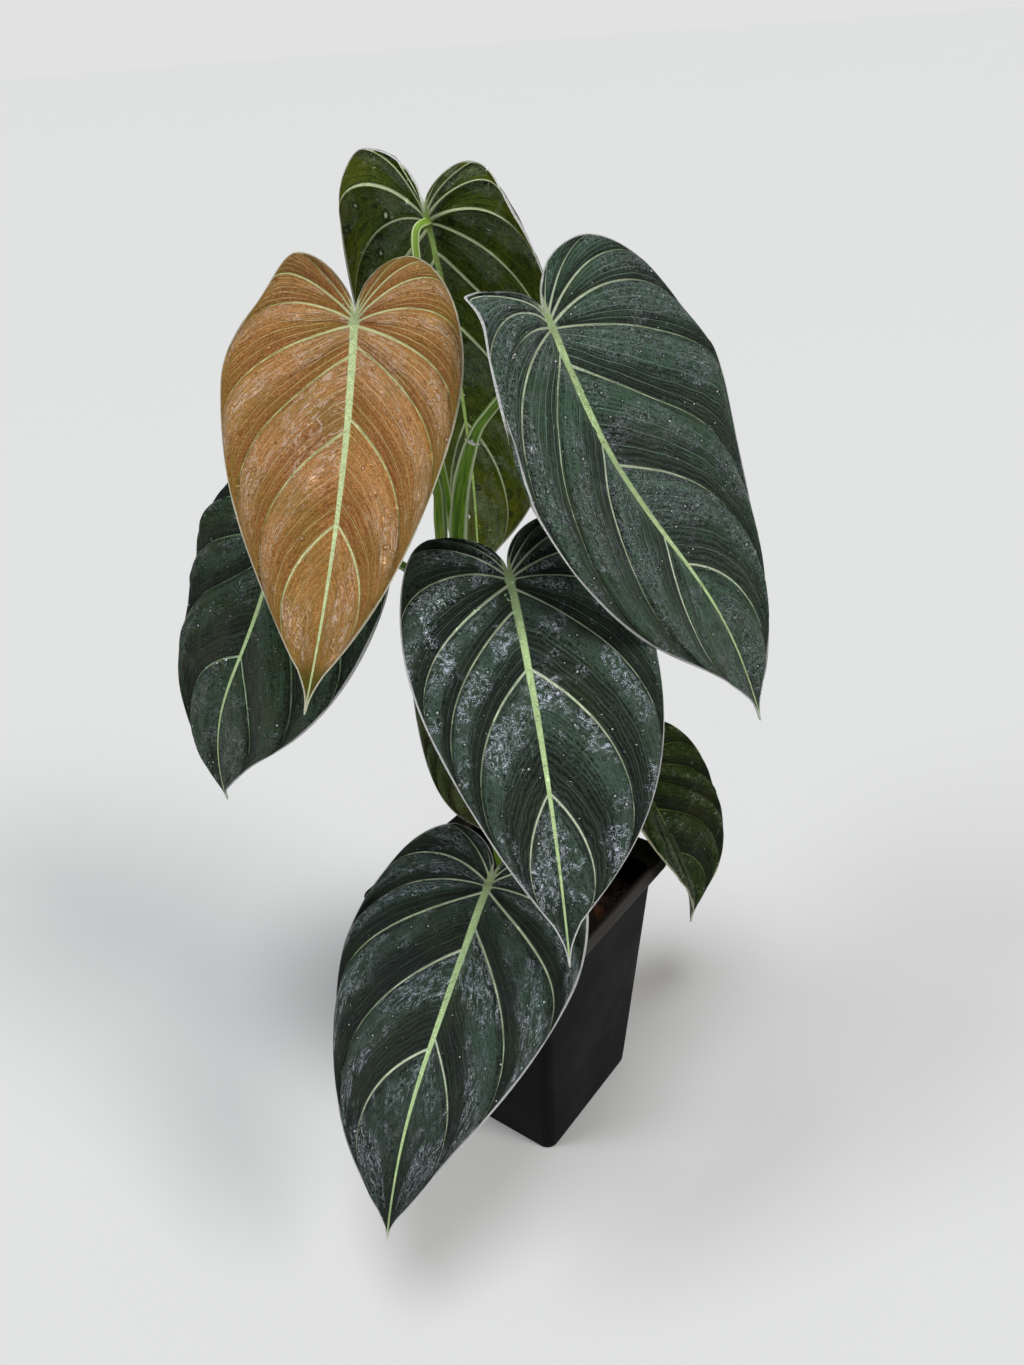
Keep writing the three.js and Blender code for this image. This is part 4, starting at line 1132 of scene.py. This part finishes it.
# %% [markdown]
# ## The stem
# The stem climbs out of the mix and thickens a little at each node. A leaf scar rings each node, and
# short pegs of aerial root stand out below some of them, where no petiole is in their way.

# %% Grow the stem
STEM_NODES = (0.17, 0.30, 0.42, 0.56, 0.70, 0.84)
STEM_RADIUS = 5.6


def stem_width(share):
    swell = sum(0.7 * math.exp(-(((share - node) / 0.02) ** 2)) for node in STEM_NODES)
    scar = sum(-0.35 * math.exp(-(((share - node - 0.018) / 0.003) ** 2)) for node in STEM_NODES)
    scar += sum(0.22 * math.exp(-(((share - node - 0.010) / 0.003) ** 2)) for node in STEM_NODES)
    close = math.sqrt(max(0.0, 1 - max(0.0, (share - 0.975) / 0.026) ** 2))
    return (STEM_RADIUS + swell + scar) * max(close, 0.12)


def stem_section(angles, share):
    """Shallow ribs run up the stem."""
    return 1 + (0.012 * np.sin(11 * angles + 5 * share) + 0.008 * np.sin(17 * angles))


stem_path = path_through(STEM_ROUTE, step=0.8)
stem = sweep("climbing_stem", stem_path, stem_width, stem_section, (-1, -1, 0), around=66)
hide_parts("stem")
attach(stem, "root")

PEG_CLEARANCE = 4.6
FOOT_POINTS = 16
PEG_SIDES = 10
PEG_STEPS = 5
PEG_RADIUS = 1.05
PEG_SINK = 0.8
feet = np.vstack([petiole_path(name)[:FOOT_POINTS] for name in PETIOLES])
pegs_rng = random.Random(4)
peg_points, peg_faces, peg_skin = [], [], []
for node in STEM_NODES[:5]:
    for _ in range(3):
        middle = stem_path[int((node - 0.012) * (len(stem_path) - 1))]
        turn = pegs_rng.uniform(0, 2 * math.pi)
        out = np.array([math.cos(turn), math.sin(turn), -0.35])
        out /= np.linalg.norm(out)
        side = np.array([-math.sin(turn), math.cos(turn), 0.0])
        over = np.cross(out, side)
        reach = pegs_rng.uniform(1.6, 3.6)
        outside = middle + np.linspace(STEM_RADIUS, STEM_RADIUS + reach, 4)[:, None] * out
        if np.linalg.norm(outside[:, None] - feet[None], axis=2).min() < PEG_CLEARANCE:
            continue
        start = len(peg_points)
        for k in range(PEG_STEPS + 1):
            along = STEM_RADIUS - PEG_SINK + (reach + PEG_SINK) * k / PEG_STEPS
            radius = PEG_RADIUS * math.sqrt(max(0.02, 1 - (k / PEG_STEPS) ** 3))
            for j in range(PEG_SIDES):
                spin = 2 * math.pi * j / PEG_SIDES
                around = math.cos(spin) * side + math.sin(spin) * over
                peg_points.append(middle + along * out + radius * around)
                peg_skin.append((j / PEG_SIDES, k / PEG_STEPS))
        peg_faces += ring_quads(start, PEG_STEPS + 1, PEG_SIDES)
        peg_faces.append(tuple(start + PEG_STEPS * PEG_SIDES + j for j in range(PEG_SIDES)))
        peg_faces.append(tuple(start + j for j in reversed(range(PEG_SIDES))))
pegs = mesh_object("root_pegs", np.array(peg_points) * MM, peg_faces, {"skin": peg_skin})
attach(pegs, "root")
print("stem with", len(STEM_NODES), "nodes")

# %% [markdown]
# ## The pot
# A deep square nursery pot is moulded from thin black plastic. It tapers, its collar stands out round
# the top, and a ledge inside the collar shows where the wall is. A lofted profile gives all of that:
# one rounded square after another, up the outside, over the rim and down the inside.

# %% Mould the pot
POT = dict(height=167, foot=89, shoulder=117, collar=130, shoulder_z=157, ledge_z=158.8, floor=2.8,
           inside_shoulder=56.7, inside_collar=63.2, wall=1.8, corner=7.0, drain_radius=5, drain_at=26)
CORNER_STEPS = 10
SIDE_STEPS = 12
DRAIN_SIDES = 28
DRAINS = [(x * POT["drain_at"], y * POT["drain_at"]) for x in (-1, 1) for y in (-1, 1)]


def rounded_square(half, corner, z, bow=0.0):
    """A square's outline with rounded corners. A little bow makes its sides swell outward."""
    def on_corner(quarter, turn):
        cx = (half - corner) * (1 if quarter in (0, 3) else -1)
        cy = (half - corner) * (1 if quarter in (0, 1) else -1)
        return cx + corner * math.cos(turn), cy + corner * math.sin(turn), z

    points = []
    for quarter in range(4):
        turn = quarter * math.pi / 2
        points += [on_corner(quarter, turn + (math.pi / 2) * k / CORNER_STEPS)
                   for k in range(CORNER_STEPS + 1)]
        a = np.array(points[-1])
        b = np.array(on_corner((quarter + 1) % 4, turn + math.pi / 2))
        middle = (a + b) / 2
        outward = unit(np.array([middle[0], middle[1], 0.0]))
        for k in range(1, SIDE_STEPS):
            share = k / SIDE_STEPS
            points.append(tuple(a + (b - a) * share + outward * bow * math.sin(math.pi * share)))
    return points


def drain_ring(cx, cy):
    """Points round a drain hole."""
    turns = [2 * math.pi * k / DRAIN_SIDES for k in range(DRAIN_SIDES)]
    return [(cx + POT["drain_radius"] * math.cos(t), cy + POT["drain_radius"] * math.sin(t)) for t in turns]


def pot_profile():
    """(half side, height, corner radius) up the outside, over the rim and down the inside."""
    foot, shoulder, collar = POT["foot"] / 2, POT["shoulder"] / 2, POT["collar"] / 2
    corner, top, under = POT["corner"], POT["height"], POT["shoulder_z"]
    lean = (shoulder - foot) / under
    profile = [(foot - 1.2, 0.0), (foot - 0.45, 0.15), (foot - 0.08, 0.6), (foot + 0.02, 1.2)]
    profile += [(foot + lean * z, z) for z in np.linspace(8, under - 2.0, 16)]
    profile += [(foot + lean * (under - 0.8), under - 0.8), (shoulder + 0.25, under - 0.25),
                (shoulder + 0.9, under), (collar - 0.9, under), (collar - 0.3, under + 0.2),
                (collar - 0.05, under + 0.8), (collar - 0.25, under + 5), (collar - 0.1, top - 1.6),
                (collar, top - 0.8), (collar - 0.25, top - 0.2), (collar - 0.8, top)]
    inside, ledge, wall = POT["inside_collar"], POT["ledge_z"], POT["inside_shoulder"]
    profile += [(inside + 0.6, top), (inside + 0.15, top - 0.2), (inside, top - 0.8),
                (inside - 0.05, ledge + 1.2), (inside - 0.35, ledge + 0.3), (inside - 1.1, ledge),
                (wall + 0.9, ledge), (wall + 0.3, ledge - 0.15), (wall, ledge - 0.8)]
    low = POT["floor"]
    profile += [(foot - POT["wall"] + lean * z, z) for z in np.linspace(ledge - 4, low + 1.2, 12)]
    profile += [(foot - POT["wall"] - 1.1, low)]
    return [(h, z, max(1.2, corner - (foot - POT["wall"] > h) * 1.0)) for h, z in profile]


def plate(z, ring, up):
    """The floor of the pot, with its four drain holes cut out."""
    outline = [Vector(p[:2]) for p in ring]
    edges = [(k, (k + 1) % len(outline)) for k in range(len(outline))]
    spots = list(outline)
    for hole in DRAINS:
        start = len(spots)
        spots += [Vector(p) for p in drain_ring(*hole)]
        edges += [(start + k, start + (k + 1) % DRAIN_SIDES) for k in range(DRAIN_SIDES)]
    points, _, triangles, _, _, _ = delaunay_2d_cdt(spots, edges, [], 1, 1e-6)
    kept = []
    for triangle in triangles:
        middle = sum((points[k] for k in triangle), Vector((0, 0))) / 3
        if all((middle - Vector(hole)).length > POT["drain_radius"] for hole in DRAINS):
            kept.append(tuple(triangle) if up else tuple(reversed(triangle)))
    return [(p.x, p.y, z) for p in points], kept


profile = pot_profile()
rings = [rounded_square(h, c, z, bow=0.35 if 10 < z < 156 else 0.0) for h, z, c in profile]
pot_points = [p for ring in rings for p in ring]
pot_faces = ring_quads(0, len(rings), len(rings[0]))
for height, ring, up in ((0.0, rings[0], False), (POT["floor"], rings[-1], True)):
    plate_points, plate_faces = plate(height, ring, up)
    pot_faces += [tuple(i + len(pot_points) for i in f) for f in plate_faces]
    pot_points += plate_points
for hole in DRAINS:
    start = len(pot_points)
    pot_points += [(x, y, z) for z in (0.0, POT["floor"]) for x, y in drain_ring(*hole)]
    for k in range(DRAIN_SIDES):
        a, b = start + k, start + (k + 1) % DRAIN_SIDES
        pot_faces.append((a, a + DRAIN_SIDES, b + DRAIN_SIDES, b))
pot = mesh_object("nursery_pot", np.array(pot_points) * MM, pot_faces, sharp=40)
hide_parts("pot")
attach(pot, "root")
print("pot faces:", len(pot.data.polygons))

# %% [markdown]
# ## The potting mix
# Aroids grow in a coarse mix. A height map alone would look like mud, so the surface is built in three
# layers: a lumpy bed, angular bark chips half sunk in it, and thin coir fibres lying over both.

# %% Fill the pot
MIX_TOP = 139
MIX_GAP = 0.35
STEM_GAP = 7.4
CHIPS = 300
FIBRES = 150
FIBRE_STEPS = 7
FIBRE_ANGLES = (0, 1.2566, 2.5133, 3.7699, 5.0265)
ANY_TURN = 6.3
BED_CELLS = 110
mix_rng = np.random.default_rng(21)


def mix_half(z):
    """Half the width that the pot leaves for the mix at a height."""
    lean = (POT["shoulder"] - POT["foot"]) / 2 / POT["shoulder_z"]
    return POT["foot"] / 2 - POT["wall"] + lean * z - MIX_GAP - 0.1


def bed_height(x, y):
    """The lumpy surface of the bed, in millimetres above the floor."""
    lumps = 1.1 * soft_noise(x, y, 11, 5) + 0.9 * soft_noise(x, y, 4.5, 6) + 0.45 * soft_noise(x, y, 2.0, 7)
    return MIX_TOP - 1.2 + lumps


half_top = mix_half(MIX_TOP)
line = np.linspace(-half_top, half_top, BED_CELLS + 1)
bed_x, bed_y = np.meshgrid(line, line, indexing="ij")
corner_cut = np.minimum(1, (2 * half_top - 4.2) / np.maximum(np.abs(bed_x) + np.abs(bed_y), 1e-6))
bed_x, bed_y = bed_x * corner_cut, bed_y * corner_cut
from_stem = np.hypot(bed_x, bed_y)
bed_z = bed_height(bed_x, bed_y) - 3.0 * np.exp(-((from_stem / STEM_GAP) ** 4))
bed_points = np.stack([bed_x, bed_y, bed_z], -1).reshape(-1, 3).tolist()
index = np.arange((BED_CELLS + 1) ** 2).reshape(BED_CELLS + 1, BED_CELLS + 1)
bed_faces = np.stack([index[:-1, :-1], index[1:, :-1], index[1:, 1:], index[:-1, 1:]], -1)
bed_faces = bed_faces.reshape(-1, 4).tolist()
border = [*index[:-1, 0], *index[-1, :-1], *index[:0:-1, -1], *index[0, :0:-1]]
previous = border
for z in (120.0, 60.0, POT["floor"] + MIX_GAP):
    shrink = mix_half(z) / half_top
    start = len(bed_points)
    bed_points += [(bed_points[k][0] * shrink, bed_points[k][1] * shrink, z) for k in border]
    lower = list(range(start, start + len(border)))
    for k in range(len(border)):
        following = (k + 1) % len(border)
        bed_faces.append((previous[k], lower[k], lower[following], previous[following]))
    previous = lower
bed_points.append((0, 0, POT["floor"] + MIX_GAP))
bed_faces += [(previous[k], len(bed_points) - 1, previous[(k + 1) % len(previous)])
              for k in range(len(previous))]
bed = mesh_object("potting_bed", np.array(bed_points) * MM, bed_faces, sharp=70)
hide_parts("potting_mix")


def scatter_spot(margin):
    """A random place on the bed, clear of the walls and of the stem."""
    while True:
        x, y = mix_rng.uniform(-half_top + margin, half_top - margin, 2)
        if math.hypot(x, y) > STEM_GAP + margin * 0.5:
            return x, y


def turned(points, yaw, pitch, roll):
    turn = Matrix.Rotation(yaw, 3, "Z") @ Matrix.Rotation(pitch, 3, "Y") @ Matrix.Rotation(roll, 3, "X")
    return np.asarray(points) @ np.array(turn).T


def chip(size):
    """An angular chip: a jittered box, cut once along each edge so that it looks broken."""
    made = bmesh.new()
    bmesh.ops.create_cube(made, size=1.0)
    bmesh.ops.subdivide_edges(made, edges=made.edges, cuts=1, use_grid_fill=True)
    for vert in made.verts:
        push = mix_rng.uniform(-0.13, 0.13, 3)
        round_off = 1 - 0.16 * (sum(abs(c * 2) ** 2 for c in vert.co) - 1)
        vert.co = Vector([(c * round_off + p) * s for c, p, s in zip(vert.co, push, size)])
    bmesh.ops.triangulate(made, faces=made.faces)
    points = [tuple(v.co) for v in made.verts]
    faces = [tuple(v.index for v in f.verts) for f in made.faces]
    made.free()
    return points, faces


def add_piece(store, points, faces, tint):
    start = len(store["points"])
    store["points"] += [tuple(p) for p in points]
    store["faces"] += [tuple(start + i for i in f) for f in faces]
    store["tint"] += [tint] * len(points)


chips = dict(points=[], faces=[], tint=[])
for k in range(CHIPS):
    long = float(mix_rng.choice([3.0, 4.5, 6.5, 9.0], p=[0.42, 0.33, 0.18, 0.07]) * mix_rng.uniform(0.8, 1.2))
    x, y = scatter_spot(long * 0.62)
    points, faces = chip((long, long * mix_rng.uniform(0.45, 0.8), long * mix_rng.uniform(0.22, 0.5)))
    points = turned(points, mix_rng.uniform(0, ANY_TURN), mix_rng.normal(0, 0.35), mix_rng.normal(0, 0.35))
    lift = float(bed_height(np.array(x), np.array(y))) + long * mix_rng.uniform(-0.02, 0.16)
    tint = (float(mix_rng.uniform(0, 1)), float(mix_rng.uniform(0, 1)))
    add_piece(chips, points + (x, y, lift), faces, tint)
bark = mesh_object("bark_chips", np.array(chips["points"]) * MM, chips["faces"], {"tint": chips["tint"]},
                   sharp=25)

fibres = dict(points=[], faces=[], tint=[])
for k in range(FIBRES):
    x, y = scatter_spot(7)
    heading = mix_rng.uniform(0, ANY_TURN)
    bend = mix_rng.normal(0, 0.5)
    reach = mix_rng.uniform(4, 13)
    radius = mix_rng.uniform(0.10, 0.24)
    line_points = []
    px, py = x, y
    for step in range(FIBRE_STEPS):
        px, py = px + reach / FIBRE_STEPS * math.cos(heading), py + reach / FIBRE_STEPS * math.sin(heading)
        heading += bend / 3 + mix_rng.normal(0, 0.12)
        px, py = (float(np.clip(v, -half_top + 1.5, half_top - 1.5)) for v in (px, py))
        hop = 1.0 + 0.9 * math.sin(math.pi * step / (FIBRE_STEPS - 1))
        line_points.append((px, py, float(bed_height(np.array(px), np.array(py))) + hop))
    line_points = np.array(line_points)
    tangents = unit(np.gradient(line_points, axis=0))
    ring = []
    for spot, tangent in zip(line_points, tangents):
        side = unit(np.cross(tangent, (0, 0, 1)))
        over = np.cross(side, tangent)
        ring += [spot + radius * (math.cos(a) * side + math.sin(a) * over) for a in FIBRE_ANGLES]
    sides = len(FIBRE_ANGLES)
    faces = ring_quads(0, FIBRE_STEPS, sides)
    faces += [tuple(reversed(range(sides))), tuple(range(len(ring) - sides, len(ring)))]
    add_piece(fibres, ring, faces, (float(mix_rng.uniform(0.3, 1)), float(mix_rng.uniform(0, 1))))
coir = mesh_object("coir_fibres", np.array(fibres["points"]) * MM, fibres["faces"], {"tint": fibres["tint"]})
for piece in (bed, bark, coir):
    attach(piece, "root")
print("chips and fibres:", len(bark.data.polygons), len(coir.data.polygons))

# %% [markdown]
# ## Finishes of the stalks, the pot and the mix
# Living stalks are half glossy and streaked along their length, with pale lips. The plastic is smooth and
# black, a little dusty outside, with painted light on its collar. Bark is rough, and every chip has its
# own shade of brown.


# %% Finish the stalks
def stalk_material(name, deep, light, lip, lips=0.8, rough=0.42, brown=0.0):
    """deep and light make the streaks, and lip is the tone of the lips and of the finest streaks."""
    made, g, surface = new_material(name)
    skin = g.parts(g.uv("skin"))
    turn = g.times(skin[0], math.pi)
    fold = g.vector(g.math("COSINE", turn), g.math("SINE", turn), g.times(skin[1], 1.4))
    streaks = g.noise(fold, 5.5, 4, 0.6)
    fine = g.noise(g.stretch(fold, (9, 9, 0.8)), 2.4, 3, 0.6)
    near_lip = g.math("ABSOLUTE", g.less(g.math("ABSOLUTE", skin[0]), 0.262))
    colour = g.lay(g.mix(g.fade(streaks, 0.36, 0.64), deep, light), [
        (g.times(g.fade(fine, 0.5, 0.75), 0.35), lip),
        (g.times(g.fall(near_lip, 0.02, 0.075), lips), lip),
        (g.times(g.fade(g.noise(fold, 30, 2), 0.66, 0.72), 0.5), tone("5a6a20")),
        (g.times(g.fade(streaks, 0.45, 0.6), brown), tone("6a5230"))])
    dress(g, surface, {"Base Color": colour, "Roughness": g.fade(fine, 0.3, 0.7, rough - 0.07, rough + 0.08),
                       "Specular IOR Level": 0.25}, fine, 0.35, 0.0004)
    return made


petiole_green = stalk_material("petiole_green", tone("5c8418"), tone("98bc3e"), tone("e4f0c0"))
sheath_green = stalk_material("sheath_green", tone("4c7a0e"), tone("86b42e"), tone("e8f2c8"), lips=0.95)
stem_green = stalk_material("stem_green", tone("55682a"), tone("7d9140"), tone("a4b268"), lips=0.0, rough=0.5,
                            brown=0.45)
for name, petiole in petioles.items():
    petiole.data.materials.append(sheath_green if name == "right" else petiole_green)
stem.data.materials.append(stem_green)
pegs.data.materials.append(stalk_material("root_brown", tone("6a5436"), tone("8f7a52"), tone("b8a880"),
                                          lips=0.0, rough=0.7))


def papery_material():
    made, g, surface = new_material("dry_paper")
    fibres = g.noise(g.stretch(g.place(), (1, 1, 0.2)), 2200, 3, 0.6)
    dress(g, surface, {"Base Color": g.mix(g.fade(fibres, 0.35, 0.65), tone("dce0c4"), tone("ffffff")),
                       "Roughness": 0.7})
    return made


torn.data.materials.append(papery_material())
print("stalks finished")


# %% Finish the pot and the mix
def plastic_material():
    made, g, surface = new_material("black_plastic")
    place = g.place()
    # Painted light: from the shoulder up, the collar is mixed toward a lighter brownish grey. It is also a
    # little glossier.
    collar = g.fade(g.parts(place)[2], 0.1565, 0.158)
    dust = g.noise(place, 18, 4, 0.6)
    colour = g.lay(tone("070708"), [(g.times(g.fade(dust, 0.4, 0.75), 0.5), tone("111113")),
                                    (g.times(collar, 0.6), tone("403b36"))])
    gloss = g.plus(g.fade(dust, 0.3, 0.7, 0.42, 0.56), g.times(collar, -0.12))
    grain = g.plus(g.times(g.noise(place, 900, 2, 0.5), 0.6), g.noise(place, 60, 3))
    dress(g, surface, {"Base Color": colour, "Roughness": gloss, "Specular IOR Level": 0.04},
          grain, 0.12, 0.0003)
    return made


def bed_material():
    made, g, surface = new_material("moist_bed")
    crumbs, clumps = g.noise(g.place(), 420, 5, 0.7), g.noise(g.place(), 90, 4, 0.6)
    colour = g.lay(tone("140e0a"), [(g.fade(clumps, 0.35, 0.65), tone("32231a")),
                                    (g.times(g.fade(crumbs, 0.5, 0.75), 0.7), tone("5b3c28"))])
    dress(g, surface, {"Base Color": colour, "Roughness": g.fade(crumbs, 0.3, 0.7, 0.55, 0.95)},
          g.plus(crumbs, clumps), 0.9, 0.0012)
    return made


def chip_material(name, dark, brown, red, pale):
    made, g, surface = new_material(name)
    tint = g.parts(g.uv("tint"))
    grain = g.noise(g.stretch(g.place(), (1, 1, 3)), 520, 4, 0.65)
    colour = g.lay(tone(dark), [(g.fade(tint[0], 0.15, 0.85), tone(brown)),
                                (g.times(g.fade(tint[1], 0.6, 0.95), 0.8), tone(red)),
                                (g.times(g.fade(grain, 0.5, 0.8), 0.5), tone(pale))])
    dress(g, surface, {"Base Color": colour, "Roughness": g.fade(grain, 0.3, 0.7, 0.5, 0.85)},
          grain, 0.8, 0.0008)
    return made


pot.data.materials.append(plastic_material())
bed.data.materials.append(bed_material())
bark.data.materials.append(chip_material("bark_chip", "1d130d", "4a3020", "6e3b22", "7d5f44"))
coir.data.materials.append(chip_material("coir_fibre", "4a3320", "8a6a45", "7a4a2a", "b59a72"))
print("pot and mix finished")

# %% [markdown]
# ## Beads of water
# Drops sit on the leaves as squashed domes. They are real geometry, seeded so that every build gives
# the same ones: many small and a few large, none on the very edge. They share one clear material.

# %% Sprinkle the beads
# For each leaf: how many beads, and their typical radius in millimetres.
BEADS = {"bronze": (240, 0.26), "crown": (170, 0.62), "right": (420, 0.34), "centre": (380, 0.3),
         "front": (380, 0.3), "left": (360, 0.34), "rim": (120, 0.3), "inner": (90, 0.28)}
BEAD_AROUND = 10
BEAD_RISES = (0.0, 0.42, 0.74, 0.94)
BEAD_LARGEST = 1.9
BEAD_SINK = 0.00006
BEAD_MARGIN = 0.018
SMALLEST_FACE = 2e-7


def bead_rings(radius, height):
    """Rings of a dome from its foot up: (radius, height), bulging a little above the foot."""
    return [(radius * math.sqrt(max(0.0, 1 - rise ** 2)) * (1 + 0.06 * math.sin(math.pi * rise)),
             height * rise) for rise in BEAD_RISES]


def bead_field(name, blade, count, typical, slot_index, seed):
    """Domes of water on one face of a blade. slot_index picks the upper or the lower face."""
    rng = random.Random(seed)
    marks = blade.data.uv_layers["marks"].data
    faces = [f for f in blade.data.polygons if f.material_index == slot_index
             and f.area > SMALLEST_FACE and marks[f.loop_start].uv[0] > BEAD_MARGIN]
    points, quads = [], []
    for face in rng.choices(faces, weights=[f.area for f in faces], k=count):
        corners = [blade.data.vertices[k].co for k in face.vertices]
        a, b = rng.random(), rng.random()
        near = corners[0] * (1 - a) + corners[1] * a
        spot = near * (1 - b) + (corners[-1] * (1 - a) + corners[-2] * a) * b
        size = min(BEAD_LARGEST, typical * math.exp(rng.gauss(0.35, 0.55)))
        size, height = size * MM, size * rng.uniform(0.45, 0.75) * MM
        normal = face.normal
        side = normal.orthogonal().normalized()
        over = normal.cross(side)
        stretch = 1 + 0.35 * rng.random()
        spin = rng.uniform(0, ANY_TURN)
        long = side * math.cos(spin) + over * math.sin(spin)
        wide = normal.cross(long)
        start = len(points)
        for radius, rise in bead_rings(size, height):
            for k in range(BEAD_AROUND):
                turn = 2 * math.pi * k / BEAD_AROUND
                points.append(spot + long * (radius * stretch * math.cos(turn))
                              + wide * (radius * math.sin(turn)) + normal * (rise - BEAD_SINK))
        points.append(spot + normal * (height - BEAD_SINK))
        quads += ring_quads(start, len(BEAD_RISES), BEAD_AROUND)
        top = start + BEAD_AROUND * len(BEAD_RISES)
        last = top - BEAD_AROUND
        quads += [(last + k, last + (k + 1) % BEAD_AROUND, top) for k in range(BEAD_AROUND)]
        quads.append(tuple(start + k for k in reversed(range(BEAD_AROUND))))
    return mesh_object(name, [tuple(p) for p in points], quads, sharp=80, weld_distance=1e-7)


def water_material():
    made, g, surface = new_material("clear_water")
    dress(g, surface, {"Roughness": g.fade(g.noise(g.place(), 300, 2), 0.4, 0.7, 0.02, 0.06),
                       "Base Color": (0.97, 0.99, 1.0, 1), "Transmission Weight": 1.0, "IOR": 1.33})
    return made


water = water_material()
wet_total = 0
for number, (name, (count, typical)) in enumerate(BEADS.items()):
    face = 1 if name == "crown" else 0
    beads = bead_field("water_beads_" + name, blades[name], count, typical, face, 70 + number)
    beads.data.materials.append(water)
    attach(beads, "root")
    beads.visible_shadow = False
    wet_total += len(beads.data.polygons)
print("bead faces:", wet_total)
